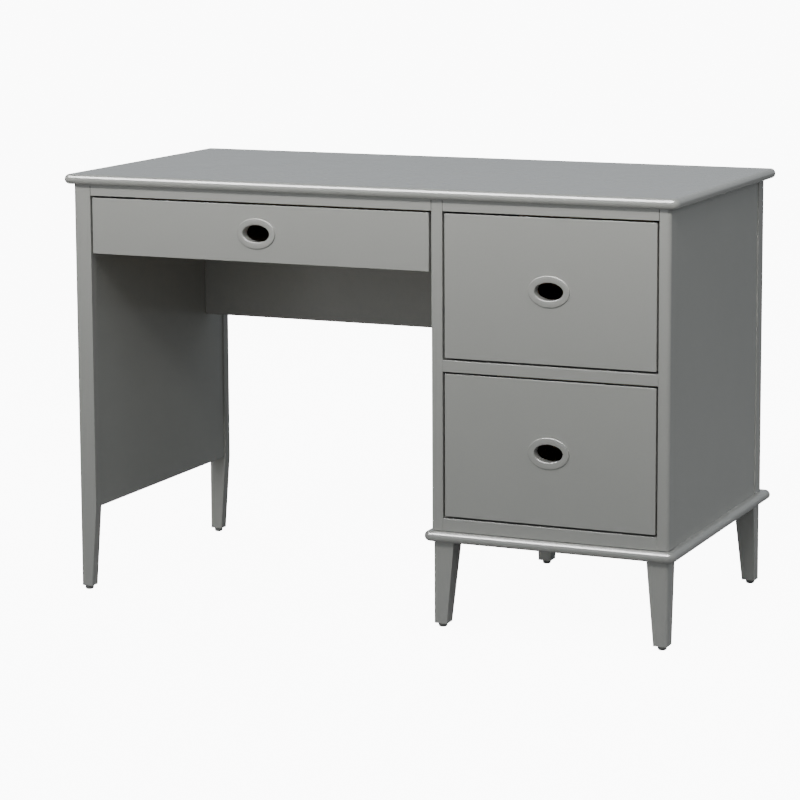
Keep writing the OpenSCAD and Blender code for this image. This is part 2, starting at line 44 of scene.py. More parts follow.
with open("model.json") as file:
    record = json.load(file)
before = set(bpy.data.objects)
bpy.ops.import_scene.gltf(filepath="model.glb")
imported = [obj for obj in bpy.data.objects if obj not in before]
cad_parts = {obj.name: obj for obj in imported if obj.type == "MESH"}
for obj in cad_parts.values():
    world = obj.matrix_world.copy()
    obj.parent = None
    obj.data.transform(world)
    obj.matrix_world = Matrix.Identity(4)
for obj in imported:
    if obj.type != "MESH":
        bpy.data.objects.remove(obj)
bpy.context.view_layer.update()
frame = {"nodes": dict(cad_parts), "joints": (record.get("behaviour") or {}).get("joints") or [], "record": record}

MM = 0.001
BODY_OF = {
    node: body
    for body, nodes in frame["record"]["behaviour"]["bodies"].items()
    for node in nodes
}
DRAWERS = ("kneehole", "upper", "lower")
POSTS = (
    "left_front_post",
    "left_back_post",
    "centre_front_post",
    "right_front_post",
    "centre_back_post",
    "right_back_post",
)
PANELS = (
    "left_end_outer_skin",
    "left_end_inner_skin",
    "pedestal_inner_panel",
    "pedestal_outer_panel",
    "pedestal_back_panel",
    "modesty_panel",
    "slide_packers",
)
RAILS = ("kneehole_rail", "upper_rail", "middle_rail", "lower_rail")
TOP_RAILS = ("kneehole_rail", "upper_rail")
# What stands on the pedestal's base board and shows in front
ON_BASE = ("centre_front_post", "right_front_post", "lower_rail")
# Outer corners, as the sides in x and y that they are on: 1 for right and back
POST_CORNERS = {
    "left_front_post": (-1, -1),
    "left_back_post": (-1, 1),
    "right_front_post": (1, -1),
    "right_back_post": (1, 1),
}
LEGS = {
    "leg_front_left": (-1, -1),
    "leg_front_right": (1, -1),
    "leg_back_left": (-1, 1),
    "leg_back_right": (1, 1),
}

# Thickness of a pull's sleeve, in the front's hole
SLEEVE = 2 * MM

# Slides, measured across from the cabinet side: the steel, and where each member's web and lips are
SLIDE_STEEL = 1.2 * MM
CABINET_MEMBER = (0.0, 9.0 * MM)
MIDDLE_MEMBER = (3.2 * MM, 10.4 * MM)
DRAWER_MEMBER = (12.7 * MM, 5.4 * MM)
SLIDE_SCREW_IN = 35 * MM
# Radius of a slide member's outer bends
SLIDE_BEND = 2.2 * MM

# Rows of balls: how far from the cabinet side each kind runs, the space left at their ends, and their strips
OUTER_BALLS = 6.4 * MM
INNER_BALLS = 8.2 * MM
ROW_CLEAR = 3 * MM
STRIP_WIDTH = 2.6 * MM
STRIP_STEEL = 0.5 * MM

# Screws
SCREW_RADIUS = 2 * MM
SCREW_LENGTH = 12 * MM
HEAD_RADIUS = 4 * MM
HEAD_HEIGHT = 1.4 * MM
# Length of a bar of the cross recess, in bar widths
CROSS_LENGTH = 3.6
# First seed of the screws' turns, one more for each set of screws
TURN_SEED = 11

# Desktop brackets: their steel, and how far from the corner each leg's screw is
BRACKET_STEEL = 2 * MM
BRACKET_SCREW_IN = 18 * MM

# Glides: the turned foot, the flat that it stands on, and its nail
GLIDE_RADIUS = 8 * MM
GLIDE_FLAT = 4 * MM
GLIDE_HEIGHT = 8 * MM
NAIL_RADIUS = 1.6 * MM
NAIL_LENGTH = 18 * MM

# Distances below which points touch or merge, in metres
NEAR = 1e-5
MERGE = 1e-6
# Angles in degrees: faces this flat are one face, edges this sharp are eased, and sharper ones stay crisp
FLAT_ANGLE = 0.6
EASED_ANGLE = 25
CRISP_ANGLE = 40
RING_CRISP_ANGLE = 38

# Softboxes: where each stands, what it faces, and its width and depth, in metres
SOFTBOXES = {
    "key softbox": ((-0.15, -2.3, 2.35), (-0.15, 0.0, 1.02), 3.4, 0.4),
    "top softbox": ((-0.2, -1.2, 2.3), (-0.2, -0.28, 0.7), 3.4, 1.4),
    "fill softbox": ((-1.2, -3.6, 0.9), (-0.2, 0.0, 0.4), 2.4, 1.4),
    "side softbox": ((2.3, -0.9, 1.7), (0.5, -0.1, 0.6), 1.2, 1.2),
}
# Beam of the key softbox through its grid, in degrees
KEY_SPREAD = 50
# Half the width of the floor, in metres
FLOOR_REACH = 40.0

# Camera: its place in metres, its lens in millimetres, and its turns in degrees
CAMERA_PLACE = (2.02997, -4.67413, 1.26906)
SENSOR_WIDTH = 36
FOCAL_LENGTH = 127.78
LENS_SHIFT = -0.15
VIEW_END = 200
YAW, DOWN, ROLL = 23.89, 7.84, -0.28


# ---------- colour and materials ----------


def srgb(code):
    """Linear red, green and blue of a hex colour."""
    shares = [int(code[i : i + 2], 16) / 255 for i in (0, 2, 4)]
    return [c / 12.92 if c <= 0.04045 else ((c + 0.055) / 1.055) ** 2.4 for c in shares]


def shaded(colour, share):
    """A colour made lighter or darker, with alpha, for a socket."""
    return [min(1.0, c * share) for c in colour[:3]] + [1.0]


def opaque(code):
    """A hex colour with full alpha, for a socket or a ramp."""
    return srgb(code) + [1]


WHITE = [1, 1, 1, 1]


def per_metre(millimetres):
    """Texture scale whose features are about that size."""
    return 1000 / millimetres


def add(tree, kind, links=None, **settings):
    """Adds a node to a tree, with its settings, and joins or sets its inputs."""
    node = tree.nodes.new(kind)
    for name, value in settings.items():
        setattr(node, name, value)
    for socket, value in (links or {}).items():
        target = node.inputs[socket]
        for one in value if isinstance(value, list) else [value]:
            if isinstance(one, bpy.types.NodeSocket):
                tree.links.new(one, target)
            else:
                target.default_value = one
    return node


def new_material(name, **shader):
    """A material with plain values on its shader, and its tree, shader and object coordinates."""
    material = bpy.data.materials.new(name)
    material.use_nodes = True
    tree = material.node_tree
    surface = tree.nodes["Principled BSDF"]
    for socket, value in shader.items():
        surface.inputs[socket.replace("_", " ")].default_value = value
    place = add(tree, "ShaderNodeTexCoord").outputs["Object"]
    return material, tree, surface, place


def stretched(tree, place, scale):
    """Coordinates that stretch a pattern along an axis whose scale is small."""
    return add(tree, "ShaderNodeMapping", {"Vector": place, "Scale": scale}).outputs["Vector"]


def noise(tree, place, millimetres, detail=2.0, rough=0.5, distortion=0.0):
    """A soft random pattern whose features are about that size."""
    return add(
        tree,
        "ShaderNodeTexNoise",
        {
            "Vector": place,
            "Scale": per_metre(millimetres),
            "Detail": detail,
            "Roughness": rough,
            "Distortion": distortion,
        },
    ).outputs["Fac"]


def between(tree, factor, low, high, from_low=0.35, from_high=0.65):
    """A number that follows a pattern from low to high."""
    return add(
        tree,
        "ShaderNodeMapRange",
        {
            "Value": factor,
            "From Min": from_low,
            "From Max": from_high,
            "To Min": low,
            "To Max": high,
        },
    ).outputs["Result"]


def ramp(tree, factor, stops):
    """A colour that follows a pattern through stops of (position, colour)."""
    node = add(tree, "ShaderNodeValToRGB", {"Fac": factor})
    elements = node.color_ramp.elements
    while len(elements) < len(stops):
        elements.new(0.5)
    for element, (position, colour) in zip(elements, stops):
        element.position, element.color = position, colour
    return node.outputs["Color"]


def bumped(tree, surface, height, strength, depth_mm):
    """Raises a pattern on the surface by up to that depth."""
    links = {"Height": height, "Strength": strength, "Distance": depth_mm * MM}
    bump = add(tree, "ShaderNodeBump", links).outputs["Normal"]
    tree.links.new(bump, surface.inputs["Normal"])


def satin_lacquer(name, colour, roughness):
    """Acrylic lacquer sprayed on MDF and rubbed to a satin."""
    # An even opaque grey with a wide soft highlight. The film's thickness drifts slowly, which moves the
    # tone by about one per cent. Specks of dust in it, under a millimetre and drawn at 1.8 mm, are up to
    # 2.5 per cent darker. Its orange peel of 1 to 3 mm, drawn at 4 mm, breaks up the highlight a little.
    material, tree, surface, place = new_material(name, IOR=1.49)
    drift = noise(tree, place, 140, detail=2)
    tone = ramp(tree, drift, [(0.3, shaded(colour, 0.99)), (0.7, shaded(colour, 1.01))])
    specks = noise(tree, place, 1.8, detail=1)
    fine = ramp(tree, specks, [(0.3, shaded(WHITE, 0.975)), (0.6, WHITE)])
    # The colour sockets of this node share their names with its number sockets, so they go by number
    mixed = add(
        tree,
        "ShaderNodeMix",
        {0: 1.0, 6: tone, 7: fine},
        data_type="RGBA",
        blend_type="MULTIPLY",
    )
    tree.links.new(mixed.outputs[2], surface.inputs["Base Color"])
    cloud = noise(tree, place, 60, detail=2)
    gloss = between(tree, cloud, roughness - 0.01, roughness + 0.01)
    tree.links.new(gloss, surface.inputs["Roughness"])
    bumped(tree, surface, noise(tree, place, 4, detail=1), 0.08, 0.02)
    return material


def lacquered_birch(name, grain):
    """Birch drawer board, sanded and clear lacquered. grain is the pattern's scale on each axis."""
    # Pale cream wood with close, low-contrast growth figure about 14 mm wide, and pores as fine dark ticks
    # along the grain, which are under a millimetre and drawn at 1.6 mm. The thin lacquer leaves a low sheen.
    material, tree, surface, place = new_material(name, IOR=1.5)
    along = stretched(tree, place, grain)
    figure = noise(tree, along, 14, detail=4, rough=0.55, distortion=1.2)
    wood = ramp(
        tree,
        figure,
        [
            (0.28, opaque("C9A877")),
            (0.48, opaque("DCC197")),
            (0.72, opaque("E8D3AE")),
        ],
    )
    pores = noise(tree, along, 1.6, detail=2, rough=0.7)
    ticks = ramp(tree, pores, [(0.33, opaque("CBB08A")), (0.45, WHITE)])
    mixed = add(
        tree,
        "ShaderNodeMix",
        {0: 0.5, 6: wood, 7: ticks},
        data_type="RGBA",
        blend_type="MULTIPLY",
    )
    tree.links.new(mixed.outputs[2], surface.inputs["Base Color"])
    tree.links.new(between(tree, figure, 0.42, 0.54), surface.inputs["Roughness"])
    bumped(tree, surface, pores, 0.25, 0.08)
    return material


def rolled_zinc_steel(name, colour):
    """Cold rolled steel strip with bright zinc plating, as slide members have."""
    # Cool silver with faint lines along the strip, 1 mm apart, left by the rolls, and a cloudy plating.
    material, tree, surface, place = new_material(name, Metallic=1.0)
    lines = noise(tree, stretched(tree, place, (1, 0.01, 1)), 1.0, detail=3, rough=0.6)
    clouds = noise(tree, place, 28, detail=3)
    tone = ramp(
        tree, clouds, [(0.35, shaded(colour, 0.88)), (0.65, shaded(colour, 1.06))]
    )
    tree.links.new(tone, surface.inputs["Base Color"])
    tree.links.new(between(tree, lines, 0.24, 0.42), surface.inputs["Roughness"])
    bumped(tree, surface, lines, 0.2, 0.02)
    return material


def blue_zinc_plate(name, colour):
    """Pressed steel with clear blue zinc plating, as screws, brackets and studs have."""
    # Bright silver, a little blue, with soft blotches a few millimetres wide from the plating bath.
    material, tree, surface, place = new_material(name, Metallic=1.0)
    blotches = noise(tree, place, 5, detail=3, rough=0.6)
    tone = ramp(
        tree,
        blotches,
        [(0.35, shaded(colour, 0.86)), (0.6, shaded(colour, 1.0)), (0.8, opaque("D9DDE3"))],
    )
    tree.links.new(tone, surface.inputs["Base Color"])
    tree.links.new(between(tree, blotches, 0.22, 0.36), surface.inputs["Roughness"])
    bumped(tree, surface, blotches, 0.15, 0.03)
    return material


def moulded_polypropylene(name, colour):
    """Injection moulded polypropylene, as nail-on glides are made of."""
    # Grey and waxy, with the fine spark-eroded grain of the mould, about 1 mm, and scuffs that dull it.
    material, tree, surface, place = new_material(name, IOR=1.49)
    scuffs = noise(tree, place, 6, detail=3, rough=0.6)
    tone = ramp(tree, scuffs, [(0.4, shaded(colour, 0.85)), (0.7, shaded(colour, 1.25))])
    tree.links.new(tone, surface.inputs["Base Color"])
    tree.links.new(between(tree, scuffs, 0.42, 0.58), surface.inputs["Roughness"])
    bumped(tree, surface, noise(tree, place, 1.0, detail=2), 0.3, 0.04)
    return material


def sawn_pine(name):
    """Planed pine, bare, as the rails hidden in the left end are."""
    # Warm yellow wood whose late-wood lines run along the rail every 6 mm or so.
    material, tree, surface, place = new_material(name, IOR=1.5)
    along = stretched(tree, place, (1, 0.05, 1))
    rings = noise(tree, along, 6, detail=3, distortion=0.8)
    wood = ramp(tree, rings, [(0.35, opaque("C79A5E")), (0.6, opaque("E6C48E"))])
    tree.links.new(wood, surface.inputs["Base Color"])
    tree.links.new(between(tree, rings, 0.6, 0.72), surface.inputs["Roughness"])
    bumped(tree, surface, rings, 0.3, 0.15)
    return material


def material_for(finish):
    """The material of that finish, made when it is first asked for."""
    found = bpy.data.materials.get(finish)
    if found:
        return found
    colours = bpy.context.scene.desk_finishes
    makers = {
        "Satin lacquer on MDF": lambda n: satin_lacquer(
            n, colours.paint, colours.paint_roughness
        ),
        "Satin lacquer on pull rings": lambda n: satin_lacquer(
            n, colours.pull_paint, colours.pull_roughness
        ),
        "Lacquered birch along the depth": lambda n: lacquered_birch(n, (1, 0.07, 1)),
        "Lacquered birch along the width": lambda n: lacquered_birch(n, (0.07, 1, 1)),
        "Zinc plated rolled steel": lambda n: rolled_zinc_steel(n, colours.slide_steel),
        "Blue zinc plated steel": lambda n: blue_zinc_plate(n, colours.zinc),
        "Moulded polypropylene": lambda n: moulded_polypropylene(n, colours.glide_plastic),
        "Planed pine": sawn_pine,
    }
    return makers[finish](finish)


# ---------- meshes and pieces ----------


def link_object(name, mesh):
    """A new object in the scene, at the origin."""
    piece = bpy.data.objects.new(name, mesh)
    bpy.context.scene.collection.objects.link(piece)
    return piece


def bake(piece):
    """Applies what modifiers the piece has to its mesh."""
    graph = bpy.context.evaluated_depsgraph_get()
    mesh = bpy.data.meshes.new_from_object(piece.evaluated_get(graph), depsgraph=graph)
    piece.modifiers.clear()
    piece.data = mesh
    mesh.name = piece.name
    return piece


def piece_from(bm, name, weighted=True):
    """A smooth shaded object from a bmesh. Weighted normals keep its broad flats flat."""
    mesh = bpy.data.meshes.new(name)
    bm.verts.index_update()
    mesh.from_pydata(
        [v.co for v in bm.verts], [], [[v.index for v in f.verts] for f in bm.faces]
    )
    bm.free()
    mesh.polygons.foreach_set("use_smooth", [True] * len(mesh.polygons))
    mesh.update()
    piece = link_object(name, mesh)
    if weighted:
        normals = piece.modifiers.new("Weighted normals", "WEIGHTED_NORMAL")
        normals.mode = "FACE_AREA_WITH_ANGLE"
        bake(piece)
    return piece


def finish_piece(piece, finish, body, slot, *nodes):
    """Gives a piece its material and its body, and hides the nodes that it stands for. The record slot that it
    takes is not used.
    """
    piece.data.materials.clear()
    piece.data.materials.append(material_for(finish))
    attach(piece, body)
    if nodes:
        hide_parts(*nodes)
    return piece


def board_bmesh(node):
    """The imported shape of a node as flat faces, with its loose triangles joined."""
    bm = bmesh.new()
    bm.from_mesh(frame["nodes"][node].data)
    bmesh.ops.remove_doubles(bm, verts=bm.verts, dist=MERGE)
    bmesh.ops.dissolve_limit(bm, angle_limit=radians(FLAT_ANGLE), verts=bm.verts, edges=bm.edges)
    return bm


def ease_edges(bm, width, segments, chosen=None):
    """Rounds the sharp edges, except those of screw holes, or only the chosen ones."""
    shortest = 1.0 * MM
    edges = [
        e
        for e in bm.edges
        if len(e.link_faces) == 2
        and e.calc_face_angle(0) > radians(EASED_ANGLE)
        and e.calc_length() > shortest
        and (chosen is None or chosen(e))
    ]
    bmesh.ops.bevel(
        bm,
        geom=edges,
        offset=width,
        offset_type="OFFSET",
        segments=segments,
        profile=0.5,
        affect="EDGES",
        clamp_overlap=True,
    )


def at_corner(node, side_x, side_y):
    """Tells which edges of a node run up the corner of its box on those sides."""
    low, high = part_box(node)
    x = high.x if side_x > 0 else low.x
    y = high.y if side_y > 0 else low.y
    return lambda edge: all(
        abs(vert.co.x - x) < NEAR and abs(vert.co.y - y) < NEAR for vert in edge.verts
    )


def eased_piece(
    node, width, segments=3, corner=None, corner_radius=0.0, drawn_in=(0.0, 0.0, 0.0)
):
    """A board of the frame with its edges eased by sanding and lacquer.

    One upright corner may be rounded more, and its ends, foot and top may be drawn in a little, which
    leaves the line that shows where it meets its neighbours.
    """
    bm = board_bmesh(node)
    low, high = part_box(node)
    ends, foot, top = drawn_in
    for vert in bm.verts:
        if abs(vert.co.x - low.x) < NEAR:
            vert.co.x += ends
        if abs(vert.co.x - high.x) < NEAR:
            vert.co.x -= ends
        if abs(vert.co.z - low.z) < NEAR:
            vert.co.z += foot
        if abs(vert.co.z - high.z) < NEAR:
            vert.co.z -= top
    if corner:
        ease_edges(bm, corner_radius, 8, at_corner(node, *corner))
    ease_edges(bm, width, segments)
    return piece_from(bm, node + "_eased")


def extrude_rings(rings, looped=False):
    """A closed skin through rings of the same number of points."""
    bm = bmesh.new()
    rows = [[bm.verts.new(p) for p in ring] for ring in rings]
    count = len(rows[0])
    pairs = zip(rows, rows[1:] + rows[:1]) if looped else zip(rows, rows[1:])
    for lower, upper in pairs:
        for i in range(count):
            j = (i + 1) % count
            bm.faces.new((lower[i], lower[j], upper[j], upper[i]))
    if not looped:
        bm.faces.new(rows[0])
        bm.faces.new(rows[-1])
    bmesh.ops.recalc_face_normals(bm, faces=bm.faces)
    return bm


def bullnose_board(name, low, high, plan_radius, edge_steps, corner_steps, flat_margin):
    """A board with a half round front and ends, rounded front corners and a back cut square."""
    half = (high.z - low.z) / 2
    middle = (high.z + low.z) / 2
    turns = [pi * k / edge_steps - pi / 2 for k in range(edge_steps + 1)]
    inner = plan_radius - half
    rows = [(inner - flat_margin, low.z, high.y - flat_margin)]
    rows += [(inner + half * cos(t), middle + half * sin(t), high.y) for t in turns]
    rows += [(inner - flat_margin, high.z, high.y - flat_margin)]
    left_x, right_x = low.x + plan_radius, high.x - plan_radius
    front_y = low.y + plan_radius
    rings = []
    for reach, z, back_y in rows:
        ring = [(right_x + reach, back_y, z), (left_x - reach, back_y, z)]
        for x, start in ((left_x, pi), (right_x, 3 * pi / 2)):
            for k in range(corner_steps + 1):
                turn = start + pi / 2 * k / corner_steps
                ring.append((x + reach * cos(turn), front_y + reach * sin(turn), z))
        rings.append(ring)
    board = piece_from(extrude_rings(rings), name, weighted=False)
    smooth_by_angle(board, CRISP_ANGLE)
    return board


# ---------- Geometry Nodes ----------


def new_tree(name, inputs):
    """A geometry tree with named inputs, and the sockets that its nodes read them from."""
    tree = bpy.data.node_groups.new(name, "GeometryNodeTree")
    tree.interface.new_socket("Geometry", in_out="INPUT", socket_type="NodeSocketGeometry")
    for label, kind in inputs.items():
        tree.interface.new_socket(label, in_out="INPUT", socket_type="NodeSocket" + kind)
    tree.interface.new_socket("Geometry", in_out="OUTPUT", socket_type="NodeSocketGeometry")
    return tree, tree.nodes.new("NodeGroupInput").outputs


def close_tree(tree, instances, material):
    """Ends a tree with real geometry that has its material."""
    real = add(tree, "GeometryNodeRealizeInstances", {"Geometry": instances})
    done = add(
        tree,
        "GeometryNodeSetMaterial",
        {"Geometry": real.outputs["Geometry"], "Material": material},
    )
    output = tree.nodes.new("NodeGroupOutput")
    tree.links.new(done.outputs["Geometry"], output.inputs["Geometry"])


def calc(tree, operation, first, second=0.0):
    """A sum on two numbers."""
    return add(tree, "ShaderNodeMath", {0: first, 1: second}, operation=operation).outputs[0]


def vector(tree, x=0.0, y=0.0, z=0.0):
    """A vector from three numbers."""
    return add(tree, "ShaderNodeCombineXYZ", {"X": x, "Y": y, "Z": z}).outputs["Vector"]


def moved(tree, mesh, offset):
    """A mesh moved by that much."""
    links = {"Geometry": mesh, "Translation": offset}
    return add(tree, "GeometryNodeTransform", links).outputs["Geometry"]


def screw_tree():
    """Pan head screws with a cross recess, one on each point, turned at random about their axes."""
    tree, inputs = new_tree(
        "Cross recess screws",
        {
            "Head radius": "Float",
            "Head height": "Float",
            "Shaft radius": "Float",
            "Shaft length": "Float",
            "Recess width": "Float",
            "Recess depth": "Float",
            "Turn seed": "Int",
            "Material": "Material",
        },
    )
    radius, height = inputs["Head radius"], inputs["Head height"]
    # The dome is a cap of a sphere whose radius follows from the cap's own radius and height
    dome = calc(
        tree,
        "DIVIDE",
        calc(
            tree,
            "ADD",
            calc(tree, "MULTIPLY", radius, radius),
            calc(tree, "MULTIPLY", height, height),
        ),
        calc(tree, "MULTIPLY", height, 2.0),
    )
    ball = add(tree, "GeometryNodeMeshUVSphere", {"Segments": 32, "Rings": 48, "Radius": dome})
    ball = moved(
        tree, ball.outputs["Mesh"], vector(tree, z=calc(tree, "SUBTRACT", height, dome))
    )
    drum = add(
        tree,
        "GeometryNodeMeshCylinder",
        {"Vertices": 32, "Radius": radius, "Depth": calc(tree, "MULTIPLY", height, 2.0)},
    )
    drum = moved(tree, drum.outputs["Mesh"], vector(tree, z=height))
    head = add(
        tree,
        "GeometryNodeMeshBoolean",
        {"Mesh 2": [ball, drum]},
        operation="INTERSECT",
        solver="EXACT",
    ).outputs["Mesh"]
    depth, width = inputs["Recess depth"], inputs["Recess width"]
    bars = []
    for size in ((1.0, CROSS_LENGTH), (CROSS_LENGTH, 1.0)):
        bar = add(
            tree,
            "GeometryNodeMeshCube",
            {
                "Size": vector(
                    tree,
                    calc(tree, "MULTIPLY", width, size[0]),
                    calc(tree, "MULTIPLY", width, size[1]),
                    calc(tree, "MULTIPLY", depth, 2.0),
                )
            },
        )
        bars.append(moved(tree, bar.outputs["Mesh"], vector(tree, z=height)))
    head = add(
        tree,
        "GeometryNodeMeshBoolean",
        {"Mesh 1": head, "Mesh 2": bars},
        operation="DIFFERENCE",
        solver="EXACT",
    ).outputs["Mesh"]
    shaft = add(
        tree,
        "GeometryNodeMeshCylinder",
        {"Vertices": 16, "Radius": inputs["Shaft radius"], "Depth": inputs["Shaft length"]},
    )
    # The shaft starts a little inside the head, so that the two join as one solid
    sunk = calc(
        tree,
        "ADD",
        calc(tree, "MULTIPLY", inputs["Shaft length"], -0.5),
        calc(tree, "MULTIPLY", height, 0.25),
    )
    screw = add(
        tree,
        "GeometryNodeMeshBoolean",
        {"Mesh 2": [head, moved(tree, shaft.outputs["Mesh"], vector(tree, z=sunk))]},
        operation="UNION",
        solver="EXACT",
    ).outputs["Mesh"]
    facing = add(
        tree,
        "GeometryNodeInputNamedAttribute",
        {"Name": "facing"},
        data_type="FLOAT_VECTOR",
    )
    pointed = add(
        tree,
        "FunctionNodeAlignRotationToVector",
        {"Vector": facing.outputs["Attribute"]},
        axis="Z",
    )
    turn = add(
        tree,
        "FunctionNodeRandomValue",
        {"Min": vector(tree), "Max": vector(tree, z=pi / 2), "Seed": inputs["Turn seed"]},
        data_type="FLOAT_VECTOR",
    )
    spun = add(
        tree,
        "FunctionNodeRotateRotation",
        {
            "Rotation": pointed.outputs["Rotation"],
            "Rotate By": add(
                tree, "FunctionNodeEulerToRotation", {"Euler": turn.outputs["Value"]}
            ).outputs["Rotation"],
        },
        rotation_space="LOCAL",
    )
    placed = add(
        tree,
        "GeometryNodeInstanceOnPoints",
        {
            "Points": inputs["Geometry"],
            "Instance": screw,
            "Rotation": spun.outputs["Rotation"],
        },
    )
    close_tree(tree, placed.outputs["Instances"], inputs["Material"])
    return tree


def ball_row_tree():
    """A steel strip with a row of balls in it, one on each point, running back from the point."""
    tree, inputs = new_tree(
        "Ball rows",
        {
            "Row length": "Float",
            "Ball count": "Int",
            "Ball radius": "Float",
            "Strip width": "Float",
            "Strip thickness": "Float",
            "Material": "Material",
        },
    )
    length = inputs["Row length"]
    line = add(
        tree,
        "GeometryNodeMeshLine",
        {
            "Count": inputs["Ball count"],
            "Start Location": vector(tree, y=calc(tree, "MULTIPLY", length, 0.03)),
            "Offset": vector(tree, y=calc(tree, "MULTIPLY", length, 0.97)),
        },
        mode="END_POINTS",
    )
    ball = add(
        tree,
        "GeometryNodeMeshUVSphere",
        {"Segments": 8, "Rings": 6, "Radius": inputs["Ball radius"]},
    )
    balls = add(
        tree,
        "GeometryNodeInstanceOnPoints",
        {"Points": line.outputs["Mesh"], "Instance": ball.outputs["Mesh"]},
    )
    strip = add(
        tree,
        "GeometryNodeMeshCube",
        {"Size": vector(tree, inputs["Strip width"], length, inputs["Strip thickness"])},
    )
    strip = moved(
        tree, strip.outputs["Mesh"], vector(tree, y=calc(tree, "MULTIPLY", length, 0.5))
    )
    row = add(
        tree, "GeometryNodeJoinGeometry", {"Geometry": [strip, balls.outputs["Instances"]]}
    )
    placed = add(
        tree,
        "GeometryNodeInstanceOnPoints",
        {"Points": inputs["Geometry"], "Instance": row.outputs["Geometry"]},
    )
    close_tree(tree, placed.outputs["Instances"], inputs["Material"])
    return tree


def glide_tree():
    """A turned glide on each point: a flat, a rounded shoulder, a straight side and its nail."""
    tree, inputs = new_tree(
        "Nail-on glides",
        {
            "Radius": "Float",
            "Flat radius": "Float",
            "Height": "Float",
            "Nail radius": "Float",
            "Nail length": "Float",
            "Material": "Material",
        },
    )
    shoulder = calc(tree, "SUBTRACT", inputs["Radius"], inputs["Flat radius"])
    steps = 5
    stations = []
    for k in range(1, steps + 1):
        a = pi / 2 * k / steps
        stations.append(
            (
                calc(tree, "ADD", inputs["Flat radius"], calc(tree, "MULTIPLY", shoulder, sin(a))),
                calc(tree, "MULTIPLY", shoulder, 1 - cos(a)),
            )
        )
    top = inputs["Height"]
    stations.append((inputs["Radius"], top))
    stations.append((inputs["Nail radius"], top))
    stations.append((inputs["Nail radius"], calc(tree, "ADD", top, inputs["Nail length"])))
    foot = add(
        tree,
        "GeometryNodeMeshCircle",
        {"Vertices": 32, "Radius": inputs["Flat radius"]},
        fill_type="NGON",
    ).outputs["Mesh"]
    body, face, radius, level = foot, None, inputs["Flat radius"], 0.0
    for new_radius, new_level in stations:
        links = {
            "Mesh": body,
            "Offset": vector(tree, z=1.0),
            "Offset Scale": calc(tree, "SUBTRACT", new_level, level),
            "Individual": False,
        }
        if face is not None:
            links["Selection"] = face
        raised = add(tree, "GeometryNodeExtrudeMesh", links, mode="FACES")
        face = raised.outputs["Top"]
        body = add(
            tree,
            "GeometryNodeScaleElements",
            {
                "Geometry": raised.outputs["Mesh"],
                "Selection": face,
                "Scale": calc(tree, "DIVIDE", new_radius, radius),
            },
            domain="FACE",
        ).outputs["Geometry"]
        radius, level = new_radius, new_level
    sole = add(tree, "GeometryNodeFlipFaces", {"Mesh": foot}).outputs["Mesh"]
    joined = add(tree, "GeometryNodeJoinGeometry", {"Geometry": [body, sole]}).outputs["Geometry"]
    whole = add(
        tree, "GeometryNodeMergeByDistance", {"Geometry": joined, "Distance": MERGE}
    ).outputs["Geometry"]
    placed = add(
        tree,
        "GeometryNodeInstanceOnPoints",
        {"Points": inputs["Geometry"], "Instance": whole},
    )
    close_tree(tree, placed.outputs["Instances"], inputs["Material"])
    return tree


def repeated_piece(name, tree, points, facings, values):
    """What a tree makes on points, as a plain mesh."""
    mesh = bpy.data.meshes.new(name)
    mesh.from_pydata(points, [], [])
    if facings:
        facing = mesh.attributes.new("facing", "FLOAT_VECTOR", "POINT")
        facing.data.foreach_set("vector", [c for f in facings for c in f])
    piece = link_object(name, mesh)
    modifier = piece.modifiers.new("Pieces", "NODES")
    modifier.node_group = tree
    identifiers = {
        s.name: s.identifier for s in tree.interface.items_tree if s.in_out == "INPUT"
    }
    for label, value in values.items():
        modifier[identifiers[label]] = value
    bake(piece)
    if not piece.data.polygons:
        raise RuntimeError(f"{name} came out of its node tree without any face")
    smooth_by_angle(piece, CRISP_ANGLE)
    return piece


def smooth_by_angle(piece, degrees):
    """Shades a piece smooth, except over edges sharper than that."""
    mesh = piece.data
    mesh.polygons.foreach_set("use_smooth", [True] * len(mesh.polygons))
    mesh.set_sharp_from_angle(angle=radians(degrees))
    mesh.update()


# ---------- slides ----------


def channel_outline(web, lip, half_height, steel, round_steps):
    """The section of a slide member across x and z: a web, rounded bends and two lips."""
    side = 1 if lip > web else -1
    bend = SLIDE_BEND
    points = []

    def arc(x, z, radius, start, end):
        for k in range(round_steps + 1):
            a = radians(start + (end - start) * k / round_steps)
            points.append((x + side * radius * cos(a), z + radius * sin(a)))

    reach = abs(lip - web)
    tip = steel / 2
    # Round the outside from the lower lip to the upper one, and back along the inside
    arc(web + side * bend, -half_height + bend, bend, 270, 180)
    arc(web + side * bend, half_height - bend, bend, 180, 90)
    arc(web + side * (reach - tip), half_height - tip, tip, 90, -90)
    arc(web + side * bend, half_height - bend, bend - steel, 90, 180)
    arc(web + side * bend, -half_height + bend, bend - steel, 180, 270)
    arc(web + side * (reach - tip), -half_height + tip, tip, 90, -90)
    return points


def slide_members(name, node, member, finish, slot):
    """Both slide members of one kind in a drawer's bay, as rolled channels."""
    low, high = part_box(node)
    bay_low, bay_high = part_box(node.split("_")[0] + "_cabinet_slides")
    half = (high.z - low.z) / 2
    middle = (high.z + low.z) / 2
    web, lip = member
    bm = bmesh.new()
    for wall, inward in ((bay_low.x, 1), (bay_high.x, -1)):
        outline = [
            (wall + inward * x, middle + z)
            for x, z in channel_outline(web, lip, half, SLIDE_STEEL, 4)
        ]
        rings = [[(x, y, z) for x, z in outline] for y in (low.y, high.y)]
        part = extrude_rings(rings)
        mesh = bpy.data.meshes.new("part")
        part.to_mesh(mesh)
        part.free()
        bm.from_mesh(mesh)
        bpy.data.meshes.remove(mesh)
    piece = piece_from(bm, name, weighted=False)
    smooth_by_angle(piece, CRISP_ANGLE)
    return finish_piece(piece, finish, BODY_OF[node], slot, node)


